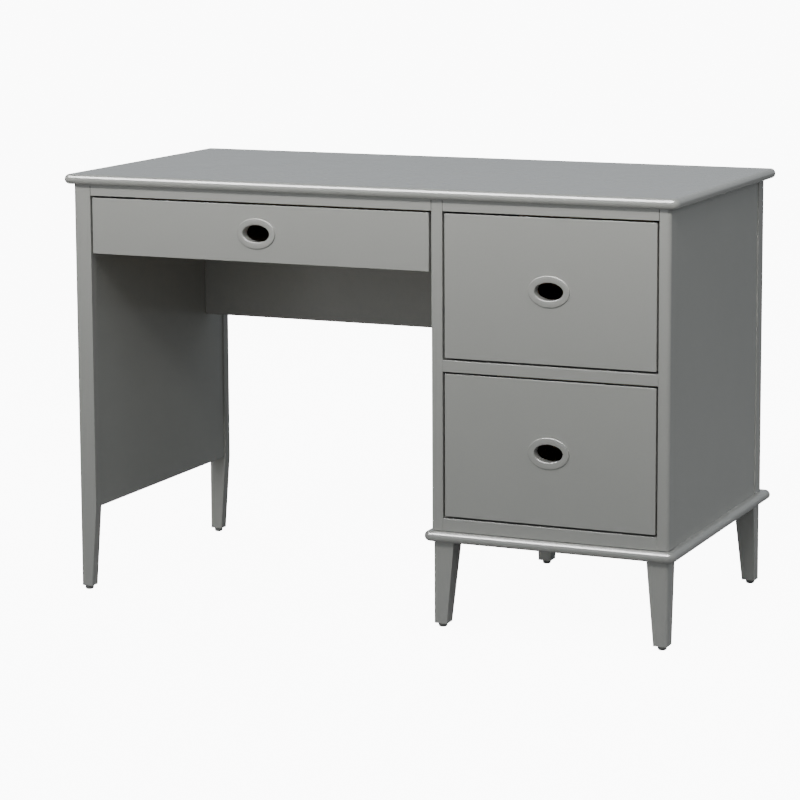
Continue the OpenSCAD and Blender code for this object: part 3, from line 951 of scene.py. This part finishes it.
def slide_screw_rows(drawer):
    """Places of the screws along a drawer's slides, and their height."""
    low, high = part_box(drawer + "_cabinet_slides")
    ys = (low.y + SLIDE_SCREW_IN, (low.y + high.y) / 2, high.y - SLIDE_SCREW_IN)
    return low.x, high.x, ys, (low.z + high.z) / 2


# ---------- pulls ----------


def pull_ring(name, node, hole, lip, crown, edge):
    """An oval ring with a rounded rim, an almost flat face, a rounded outer edge and a sleeve."""
    low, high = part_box(node)
    front_low, front_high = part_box(node.replace("pull", "front"))
    middle = (low + high) / 2
    hole_w, hole_h = hole
    band_w, band_h = (high.x - low.x - hole_w) / 2, (high.z - low.z - hole_h) / 2
    seat, face, back = front_low.y, low.y, front_high.y
    steps = 6
    quarter = [pi / 2 * k / steps for k in range(steps + 1)]
    # The section as (distance out from the hole, y), from the sleeve's back round the front to the seat
    section = [(0.0, back)]
    section += [(lip * (1 - cos(a)), face + crown + (lip - crown) * (1 - sin(a))) for a in quarter]
    flat = band_w - lip - edge
    section += [(lip + flat * k / 6, face + crown * (k / 3 - 1) ** 2) for k in range(1, 6)]
    section += [
        (band_w - edge * (1 - sin(a)), face + crown + (edge - crown) * (1 - cos(a))) for a in quarter
    ]
    section += [(band_w, seat), (SLEEVE, seat), (SLEEVE, back)]
    around = 96
    rings = [
        [
            (
                middle.x + (hole_w / 2 + out) * cos(a),
                y,
                middle.z + (hole_h / 2 + out * band_h / band_w) * sin(a),
            )
            for out, y in section
        ]
        for a in (2 * pi * i / around for i in range(around))
    ]
    piece = piece_from(extrude_rings(rings, looped=True), name, weighted=False)
    smooth_by_angle(piece, RING_CRISP_ANGLE)
    return finish_piece(piece, "Satin lacquer on pull rings", BODY_OF[node], "pull_ring", node)


# ---------- sizes and colours that a user would change ----------


class DeskFinishes(bpy.types.PropertyGroup):
    paint: FloatVectorProperty(
        name="Paint",
        description="Colour of the lacquer on every board",
        default=srgb("91918D"),
        subtype="COLOR",
        min=0,
        max=1,
    )
    paint_roughness: FloatProperty(
        name="Paint roughness",
        description="0 is a mirror and 1 is chalk",
        default=0.2,
        min=0.05,
        max=1,
        subtype="FACTOR",
    )
    pull_paint: FloatVectorProperty(
        name="Pull paint",
        description="Colour of the rings round the finger holes",
        default=srgb("91918D"),
        subtype="COLOR",
        min=0,
        max=1,
    )
    pull_roughness: FloatProperty(
        name="Pull roughness",
        description="Roughness of the rings' lacquer",
        default=0.2,
        min=0.05,
        max=1,
        subtype="FACTOR",
    )
    slide_steel: FloatVectorProperty(
        name="Slide steel",
        description="Colour of the drawer slides",
        default=srgb("C3C6CA"),
        subtype="COLOR",
        min=0,
        max=1,
    )
    zinc: FloatVectorProperty(
        name="Zinc",
        description="Colour of the screws, brackets and studs",
        default=srgb("C9CCD2"),
        subtype="COLOR",
        min=0,
        max=1,
    )
    glide_plastic: FloatVectorProperty(
        name="Glide plastic",
        description="Colour of the glides under the feet",
        default=srgb("6A6A68"),
        subtype="COLOR",
        min=0,
        max=1,
    )


class DeskSizes(bpy.types.PropertyGroup):
    plan_radius: FloatProperty(
        name="Plan corner radius",
        description="Radius of the desktop's and base board's corners, seen from above",
        default=15 * MM,
        min=12 * MM,
        max=30 * MM,
        unit="LENGTH",
    )
    flat_margin: FloatProperty(
        name="Flat margin",
        description="Width of the flat strip beside a bullnose edge",
        default=2 * MM,
        min=0.5 * MM,
        max=3 * MM,
        unit="LENGTH",
    )
    edge_steps: IntProperty(
        name="Edge steps",
        description="Facets across a bullnose edge",
        default=24,
        min=8,
        max=48,
    )
    corner_steps: IntProperty(
        name="Corner steps",
        description="Facets round each plan corner",
        default=14,
        min=4,
        max=32,
    )
    board_ease: FloatProperty(
        name="Board ease",
        description="How far the edges of posts, rails and panels are rounded",
        default=0.6 * MM,
        min=0.3 * MM,
        max=2 * MM,
        unit="LENGTH",
    )
    front_ease: FloatProperty(
        name="Front ease",
        description="How far the edges of the drawer fronts are rounded",
        default=0.6 * MM,
        min=0.3 * MM,
        max=3 * MM,
        unit="LENGTH",
    )
    front_line: FloatProperty(
        name="Front gap line",
        description="How much wider the gap round each front is drawn, on every side",
        default=0.8 * MM,
        min=0.0,
        max=1 * MM,
        unit="LENGTH",
    )
    joint_ease: FloatProperty(
        name="Rail ease",
        description="How far the rails' edges are rounded, which draws their joints with the posts",
        default=0.4 * MM,
        min=0.2 * MM,
        max=1.5 * MM,
        unit="LENGTH",
    )
    end_line: FloatProperty(
        name="Top rail joint line",
        description="Gap drawn at each end of the top rails",
        default=0.8 * MM,
        min=0.0,
        max=1 * MM,
        unit="LENGTH",
    )
    joint_line: FloatProperty(
        name="Base joint line",
        description="Gap drawn under what stands on the base board",
        default=1.0 * MM,
        min=0.0,
        max=2 * MM,
        unit="LENGTH",
    )
    post_round: FloatProperty(
        name="Post corner radius",
        description="Radius of the outer corner of each corner post",
        default=6 * MM,
        min=1 * MM,
        max=9 * MM,
        unit="LENGTH",
    )
    leg_round: FloatProperty(
        name="Leg corner radius",
        description="Radius of a pedestal leg's outer corner",
        default=5 * MM,
        min=1 * MM,
        max=9 * MM,
        unit="LENGTH",
    )
    drawer_ease: FloatProperty(
        name="Drawer board ease",
        description="How far the edges of the drawer boards are rounded",
        default=0.8 * MM,
        min=0.2 * MM,
        max=1.5 * MM,
        unit="LENGTH",
    )
    bracket_ease: FloatProperty(
        name="Bracket ease",
        description="How far the edges of the steel brackets are rounded",
        default=0.5 * MM,
        min=0.1 * MM,
        max=0.8 * MM,
        unit="LENGTH",
    )
    pull_lip: FloatProperty(
        name="Pull lip radius",
        description="Radius of the rounded rim inside a finger hole",
        default=1.4 * MM,
        min=0.5 * MM,
        max=3 * MM,
        unit="LENGTH",
    )
    pull_crown: FloatProperty(
        name="Pull crown",
        description="How much the ring's face is crowned",
        default=0.2 * MM,
        min=0.0,
        max=1 * MM,
        unit="LENGTH",
    )
    pull_edge: FloatProperty(
        name="Pull edge radius",
        description="Radius of the ring's outer edge",
        default=1.2 * MM,
        min=0.3 * MM,
        max=2.5 * MM,
        unit="LENGTH",
    )
    hole_width: FloatProperty(
        name="Finger hole width",
        description="Width of the oval opening in a ring",
        default=52 * MM,
        min=40 * MM,
        max=60 * MM,
        unit="LENGTH",
    )
    hole_height: FloatProperty(
        name="Finger hole height",
        description="Height of the oval opening in a ring",
        default=31 * MM,
        min=20 * MM,
        max=40 * MM,
        unit="LENGTH",
    )
    recess_width: FloatProperty(
        name="Screw recess width",
        description="Width of one bar of the cross in a screw head",
        default=1.1 * MM,
        min=0.5 * MM,
        max=2 * MM,
        unit="LENGTH",
    )
    ball_radius: FloatProperty(
        name="Ball radius",
        description="Radius of the balls between slide members",
        default=0.62 * MM,
        min=0.2 * MM,
        max=0.64 * MM,
        unit="LENGTH",
    )
    balls_per_row: IntProperty(
        name="Balls in a row",
        description="Balls in each strip between slide members",
        default=14,
        min=4,
        max=40,
    )


class DeskStudio(bpy.types.PropertyGroup):
    floor: FloatVectorProperty(
        name="Floor",
        description="Colour of the floor",
        default=srgb("F6F6F5"),
        subtype="COLOR",
        min=0,
        max=1,
    )
    key_power: FloatProperty(
        name="Key power",
        description="Power of the softbox in front of the desk and above it",
        default=18,
        min=0,
        unit="POWER",
    )
    top_power: FloatProperty(
        name="Top power",
        description="Power of the overhead softbox, which draws only highlights on rounded edges",
        default=750,
        min=0,
        unit="POWER",
    )
    fill_power: FloatProperty(
        name="Fill power",
        description="Power of the low softbox in front, which lights the kneehole",
        default=16,
        min=0,
        unit="POWER",
    )
    side_power: FloatProperty(
        name="Side power",
        description="Power of the weak softbox on the right",
        default=9,
        min=0,
        unit="POWER",
    )
    ambient: FloatProperty(
        name="Ambient",
        description="Strength of the room's light on the desk",
        default=0.6,
        min=0,
    )
    backdrop: FloatProperty(
        name="Backdrop",
        description="Brightness of the room behind the desk",
        default=10.0,
        min=0,
    )
    floor_glow: FloatProperty(
        name="Floor glow",
        description="Light that the paper floor shows of itself",
        default=10.0,
        min=0,
    )
    bounce: FloatProperty(
        name="Floor bounce",
        description="Share of its light that the floor sends back on to the desk",
        default=0.2,
        min=0,
        max=1,
        subtype="FACTOR",
    )


# ---------- operators ----------


class DESK_OT_bullnose_boards(bpy.types.Operator):
    """Make the desktop and the pedestal's base board, with their bullnose fronts and ends"""

    bl_idname = "desk.bullnose_boards"
    bl_label = "Desktop and base board"

    def execute(self, context):
        sizes = context.scene.desk_sizes
        for node, name in (
            ("desktop", "desktop_board"),
            ("pedestal_base", "pedestal_base_board"),
        ):
            low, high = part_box(node)
            board = bullnose_board(
                name,
                low,
                high,
                sizes.plan_radius,
                sizes.edge_steps,
                sizes.corner_steps,
                sizes.flat_margin,
            )
            finish_piece(board, "Satin lacquer on MDF", BODY_OF[node], "painted_wood", node)
        return {"FINISHED"}


class DESK_OT_carcass(bpy.types.Operator):
    """Make the posts, panels and rails, with their edges eased"""

    bl_idname = "desk.carcass"
    bl_label = "Posts, panels and rails"

    def execute(self, context):
        sizes = context.scene.desk_sizes
        line = sizes.joint_line
        boards = [
            eased_piece(
                node,
                sizes.board_ease,
                corner=POST_CORNERS.get(node),
                corner_radius=sizes.post_round,
                drawn_in=(0.0, line if node in ON_BASE else 0.0, 0.0),
            )
            for node in POSTS
        ]
        boards += [eased_piece(node, sizes.joint_ease) for node in PANELS]
        boards += [
            eased_piece(
                node,
                sizes.joint_ease,
                drawn_in=(
                    sizes.end_line if node in TOP_RAILS else 0.0,
                    line if node in ON_BASE else 0.0,
                    0.0,
                ),
            )
            for node in RAILS
        ]
        for node, board in zip(POSTS + PANELS + RAILS, boards):
            finish_piece(board, "Satin lacquer on MDF", BODY_OF[node], "painted_wood", node)
        return {"FINISHED"}


class DESK_OT_legs(bpy.types.Operator):
    """Make the four tapered pedestal legs, with their outer corners rounded"""

    bl_idname = "desk.legs"
    bl_label = "Pedestal legs"

    def execute(self, context):
        sizes = context.scene.desk_sizes
        for node, corner in LEGS.items():
            bm = board_bmesh(node)
            ease_edges(bm, sizes.leg_round, 6, at_corner(node, *corner))
            ease_edges(bm, sizes.board_ease, 3)
            finish_piece(
                piece_from(bm, node + "_tapered"),
                "Satin lacquer on MDF",
                BODY_OF[node],
                "painted_wood",
                node,
            )
        return {"FINISHED"}


class DESK_OT_drawer_fronts(bpy.types.Operator):
    """Make the three drawer fronts"""

    bl_idname = "desk.drawer_fronts"
    bl_label = "Drawer fronts"

    def execute(self, context):
        sizes = context.scene.desk_sizes
        for drawer in DRAWERS:
            node = drawer + "_drawer_front"
            finish_piece(
                eased_piece(node, sizes.front_ease, drawn_in=(sizes.front_line,) * 3),
                "Satin lacquer on MDF",
                BODY_OF[node],
                "painted_wood",
                node,
            )
        return {"FINISHED"}


class DESK_OT_pulls(bpy.types.Operator):
    """Make the oval rings of the finger holes"""

    bl_idname = "desk.pulls"
    bl_label = "Finger pulls"

    def execute(self, context):
        sizes = context.scene.desk_sizes
        for drawer in DRAWERS:
            pull_ring(
                drawer + "_pull_ring",
                drawer + "_drawer_pull",
                (sizes.hole_width, sizes.hole_height),
                sizes.pull_lip,
                sizes.pull_crown,
                sizes.pull_edge,
            )
        return {"FINISHED"}


class DESK_OT_drawer_boxes(bpy.types.Operator):
    """Make the birch sides, backs and bottoms of the drawers"""

    bl_idname = "desk.drawer_boxes"
    bl_label = "Drawer boxes"

    def execute(self, context):
        ease = context.scene.desk_sizes.drawer_ease
        for drawer in DRAWERS:
            for part, direction in (
                ("left_side", "depth"),
                ("right_side", "depth"),
                ("back", "width"),
                ("bottom", "width"),
            ):
                node = f"{drawer}_drawer_{part}"
                finish_piece(
                    eased_piece(node, ease, 2),
                    "Lacquered birch along the " + direction,
                    BODY_OF[node],
                    "drawer_wood",
                    node,
                )
        return {"FINISHED"}


class DESK_OT_slides(bpy.types.Operator):
    """Make the telescopic slides, with rows of balls between their members"""

    bl_idname = "desk.slides"
    bl_label = "Slides"

    def execute(self, context):
        sizes = context.scene.desk_sizes
        rows = ball_row_tree()
        finish, slot = "Zinc plated rolled steel", "slide_steel"
        for drawer in DRAWERS:
            for kind, member in (
                ("cabinet", CABINET_MEMBER),
                ("middle", MIDDLE_MEMBER),
                ("drawer", DRAWER_MEMBER),
            ):
                slide_members(
                    f"{drawer}_{kind}_channels", f"{drawer}_{kind}_slides", member, finish, slot
                )
            bay_low, bay_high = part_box(drawer + "_cabinet_slides")
            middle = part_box(drawer + "_middle_slides")
            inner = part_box(drawer + "_drawer_slides")
            travel = next(
                j["range_m"][1]
                for j in frame["joints"]
                if j["name"] == drawer + "_middle_slide"
            )
            centre = (bay_low.z + bay_high.z) / 2
            row = (middle[1].y - middle[0].y) - travel - 2 * ROW_CLEAR
            # Between cabinet and middle members the balls stay at the back, and in front of them between the
            # middle and drawer members
            outer_z = ((bay_high.z - SLIDE_STEEL) + middle[1].z) / 2 - centre
            inner_z = ((middle[1].z - SLIDE_STEEL) + inner[1].z) / 2 - centre
            points = []
            for wall, inward in ((bay_low.x, 1), (bay_high.x, -1)):
                for up in (1, -1):
                    points.append(
                        (
                            wall + inward * OUTER_BALLS,
                            middle[1].y - row - ROW_CLEAR,
                            centre + up * outer_z,
                        )
                    )
                    points.append(
                        (
                            wall + inward * INNER_BALLS,
                            middle[0].y + ROW_CLEAR,
                            centre + up * inner_z,
                        )
                    )
            cages = repeated_piece(
                drawer + "_ball_rows",
                rows,
                points,
                None,
                {
                    "Row length": row,
                    "Ball count": sizes.balls_per_row,
                    "Ball radius": sizes.ball_radius,
                    "Strip width": STRIP_WIDTH,
                    "Strip thickness": STRIP_STEEL,
                    "Material": material_for(finish),
                },
            )
            finish_piece(cages, finish, BODY_OF[drawer + "_middle_slides"], slot)
        return {"FINISHED"}


class DESK_OT_screws(bpy.types.Operator):
    """Make the screws of the slides and brackets"""

    bl_idname = "desk.screws"
    bl_label = "Screws"

    def execute(self, context):
        tree = screw_tree()
        frame_points, frame_facings = [], []
        batches = []
        for drawer in DRAWERS:
            wall_low, wall_high, ys, z = slide_screw_rows(drawer)
            points, facings = [], []
            for y in ys:
                # Through the cabinet members into the cabinet, and through the drawer members into the drawer
                frame_points += [
                    (wall_low + SLIDE_STEEL, y, z),
                    (wall_high - SLIDE_STEEL, y, z),
                ]
                frame_facings += [(1, 0, 0), (-1, 0, 0)]
                web = DRAWER_MEMBER[0] - SLIDE_STEEL
                points += [(wall_low + web, y, z), (wall_high - web, y, z)]
                facings += [(-1, 0, 0), (1, 0, 0)]
            node = drawer + "_drawer_screws"
            batches.append((drawer + "_slide_screws", node, points, facings))
        points, facings = bracket_screws()
        frame_points += points
        frame_facings += facings
        batches.append(("frame_screw_set", "frame_screws", frame_points, frame_facings))
        for seed, (name, node, points, facings) in enumerate(batches):
            screws = repeated_piece(
                name,
                tree,
                points,
                facings,
                {
                    "Head radius": HEAD_RADIUS,
                    "Head height": HEAD_HEIGHT,
                    "Shaft radius": SCREW_RADIUS,
                    "Shaft length": SCREW_LENGTH,
                    "Recess width": context.scene.desk_sizes.recess_width,
                    "Recess depth": 0.7 * HEAD_HEIGHT,
                    "Turn seed": TURN_SEED + seed,
                    "Material": material_for("Blue zinc plated steel"),
                },
            )
            finish_piece(screws, "Blue zinc plated steel", BODY_OF[node], "zinc_steel", node)
        return {"FINISHED"}


def bracket_screws():
    """Places and directions of both screws of each bracket, found from the brackets themselves."""
    bm = board_bmesh("desktop_brackets")
    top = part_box("desktop_brackets")[1].z
    steel, reach = BRACKET_STEEL, BRACKET_SCREW_IN
    brackets, met = [], set()
    for first in bm.verts:
        if first in met:
            continue
        met.add(first)
        island, waiting = [], [first]
        while waiting:
            vert = waiting.pop()
            island.append(vert)
            for edge in vert.link_edges:
                other = edge.other_vert(vert)
                if other not in met:
                    met.add(other)
                    waiting.append(other)
        xs, ys, zs = zip(*(v.co for v in island))
        centre = Vector(((min(xs) + max(xs)) / 2, (min(ys) + max(ys)) / 2, 0))
        # The upright leg is the part of the bracket that reaches lowest
        foot = [v.co for v in island if v.co.z < min(zs) + NEAR]
        upright = Vector((sum(p.x for p in foot), sum(p.y for p in foot), 0)) / len(foot)
        away = centre - upright
        along = (
            Vector((1 if away.x > 0 else -1, 0, 0))
            if abs(away.x) > abs(away.y)
            else Vector((0, 1 if away.y > 0 else -1, 0))
        )
        brackets.append((upright - along * (steel / 2), along))
    bm.free()
    # Each screw's turn follows its number, so the brackets are numbered by where they are
    brackets.sort(key=lambda bracket: [round(c / NEAR) for c in bracket[0]])
    points, facings = [], []
    for wall, along in brackets:
        points.append(tuple(wall + along * steel + Vector((0, 0, top - reach))))
        facings.append(tuple(along))
        points.append(tuple(wall + along * reach + Vector((0, 0, top - steel))))
        facings.append((0, 0, -1))
    return points, facings


class DESK_OT_brackets(bpy.types.Operator):
    """Make the steel angles that hold the desktop, and finish the studs in the legs and the hidden rails"""

    bl_idname = "desk.brackets"
    bl_label = "Brackets, studs and hidden rails"

    def execute(self, context):
        node = "desktop_brackets"
        finish_piece(
            eased_piece(node, context.scene.desk_sizes.bracket_ease, 2),
            "Blue zinc plated steel",
            BODY_OF[node],
            "zinc_steel",
            node,
        )
        for node, finish in (
            ("leg_studs", "Blue zinc plated steel"),
            ("left_end_core_rails", "Planed pine"),
        ):
            slots = frame["nodes"][node].data.materials
            slots.clear()
            slots.append(material_for(finish))
        return {"FINISHED"}


class DESK_OT_glides(bpy.types.Operator):
    """Make the glides under the feet"""

    bl_idname = "desk.glides"
    bl_label = "Glides"

    def execute(self, context):
        bm = board_bmesh("leg_glides")
        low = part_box("leg_glides")[0].z
        soles = [f for f in bm.faces if all(abs(v.co.z - low) < NEAR for v in f.verts)]
        points = [tuple(f.calc_center_median()) for f in soles]
        bm.free()
        glides = repeated_piece(
            "nail_on_glides",
            glide_tree(),
            points,
            None,
            {
                "Radius": GLIDE_RADIUS,
                "Flat radius": GLIDE_FLAT,
                "Height": GLIDE_HEIGHT,
                "Nail radius": NAIL_RADIUS,
                "Nail length": NAIL_LENGTH,
                "Material": material_for("Moulded polypropylene"),
            },
        )
        finish_piece(
            glides,
            "Moulded polypropylene",
            BODY_OF["leg_glides"],
            "glide_plastic",
            "leg_glides",
        )
        return {"FINISHED"}


def aim(place, target):
    """The turn that points an object's -Z from place to target."""
    return (Vector(target) - Vector(place)).to_track_quat("-Z", "Y").to_euler()


def softbox(name, power, spread=180, colour=(1.0, 1.0, 1.0)):
    """A large rectangular light. A grid on it narrows its beam to the spread, in degrees."""
    place, target, width, depth = SOFTBOXES[name]
    light = bpy.data.lights.new(name, "AREA")
    light.shape = "RECTANGLE"
    light.size, light.size_y, light.energy = width, depth, power
    light.spread = radians(spread)
    light.color = colour
    lamp = link_object(name, light)
    lamp.location = place
    lamp.rotation_euler = aim(place, target)
    return lamp


def make_floor(studio):
    """A wide sheet of matt white paper, lit so that it looks almost white from any side."""
    mesh = bpy.data.meshes.new("floor")
    corners = [(x * FLOOR_REACH, y * FLOOR_REACH, 0) for x, y in ((-1, -1), (1, -1), (1, 1), (-1, 1))]
    mesh.from_pydata(corners, [], [(0, 1, 2, 3)])
    floor = link_object("floor", mesh)
    paper, tree, surface, _ = new_material("Matt white paper", Roughness=0.9, IOR=1.4)
    # What it sends back on to the desk is held down to bounce, as black cloth laid outside the picture does
    seen = add(tree, "ShaderNodeLightPath").outputs["Is Camera Ray"]
    dimmed, full = shaded(studio.floor, studio.bounce), shaded(studio.floor, 1.0)
    tone = ramp(tree, seen, [(0.0, dimmed), (1.0, full)])
    tree.links.new(tone, surface.inputs["Base Color"])
    surface.inputs["Emission Color"].default_value = WHITE
    glow = calc(tree, "MULTIPLY", seen, studio.floor_glow)
    tree.links.new(glow, surface.inputs["Emission Strength"])
    mesh.materials.append(paper)


def make_room(scene, studio):
    """The even light of a pale room, and a brighter backdrop behind the desk."""
    world = bpy.data.worlds.new("Pale room")
    scene.world = world
    world.use_nodes = True
    tree = world.node_tree
    background = tree.nodes["Background"]
    background.inputs["Color"].default_value = opaque("EAF1F8")
    seen = add(tree, "ShaderNodeLightPath").outputs["Is Camera Ray"]
    strength = between(tree, seen, studio.ambient, studio.backdrop, 0.0, 1.0)
    tree.links.new(strength, background.inputs["Strength"])


def make_camera(scene):
    """The camera, turned about its upright, then down, then about its own line of sight."""
    lens = bpy.data.cameras.new("camera")
    lens.sensor_width = SENSOR_WIDTH
    lens.lens = FOCAL_LENGTH
    lens.shift_y = LENS_SHIFT
    lens.clip_end = VIEW_END
    camera = link_object("camera", lens)
    turn = (
        Matrix.Rotation(radians(YAW), 4, "Z")
        @ Matrix.Rotation(radians(90 - DOWN), 4, "X")
        @ Matrix.Rotation(radians(ROLL), 4, "Z")
    )
    camera.matrix_world = Matrix.Translation(CAMERA_PLACE) @ turn
    scene.camera = camera


class DESK_OT_studio(bpy.types.Operator):
    """Make the floor, the lights and the camera"""

    bl_idname = "desk.studio"
    bl_label = "Studio"

    def execute(self, context):
        studio = context.scene.desk_studio
        make_floor(studio)
        make_room(context.scene, studio)
        softbox("key softbox", studio.key_power, KEY_SPREAD, srgb("FFFEFB"))
        top = softbox("top softbox", studio.top_power)
        # It draws the highlight on rounded edges and nothing else
        top.visible_diffuse = False
        softbox("fill softbox", studio.fill_power)
        softbox("side softbox", studio.side_power)
        make_camera(context.scene)
        return {"FINISHED"}


class DESK_PT_panel(bpy.types.Panel):
    """Lists the desk's pieces in the order they are made"""

    bl_idname = "DESK_PT_panel"
    bl_label = "Writing desk"
    bl_space_type = "VIEW_3D"
    bl_region_type = "UI"
    bl_category = "Writing Desk"

    def draw(self, context):
        layout = self.layout
        for group in ("desk_finishes", "desk_sizes", "desk_studio"):
            settings = getattr(context.scene, group)
            column = layout.column(align=True)
            for name in settings.bl_rna.properties.keys():
                if name not in ("rna_type", "name"):
                    column.prop(settings, name)
        for operator in OPERATORS:
            layout.operator(operator.bl_idname)


GROUPS = {
    "desk_finishes": DeskFinishes,
    "desk_sizes": DeskSizes,
    "desk_studio": DeskStudio,
}
OPERATORS = (
    DESK_OT_bullnose_boards,
    DESK_OT_carcass,
    DESK_OT_legs,
    DESK_OT_drawer_fronts,
    DESK_OT_pulls,
    DESK_OT_drawer_boxes,
    DESK_OT_slides,
    DESK_OT_screws,
    DESK_OT_brackets,
    DESK_OT_glides,
    DESK_OT_studio,
)


def register():
    for cls in (*GROUPS.values(), *OPERATORS, DESK_PT_panel):
        bpy.utils.register_class(cls)
    for name, group in GROUPS.items():
        setattr(bpy.types.Scene, name, PointerProperty(type=group))


def unregister():
    for name in GROUPS:
        delattr(bpy.types.Scene, name)
    for cls in reversed((*GROUPS.values(), *OPERATORS, DESK_PT_panel)):
        bpy.utils.unregister_class(cls)


def main():
    register()
    for operator in OPERATORS:
        group, name = operator.bl_idname.split(".")
        getattr(getattr(bpy.ops, group), name)()


if __name__ == "__main__":
    main()
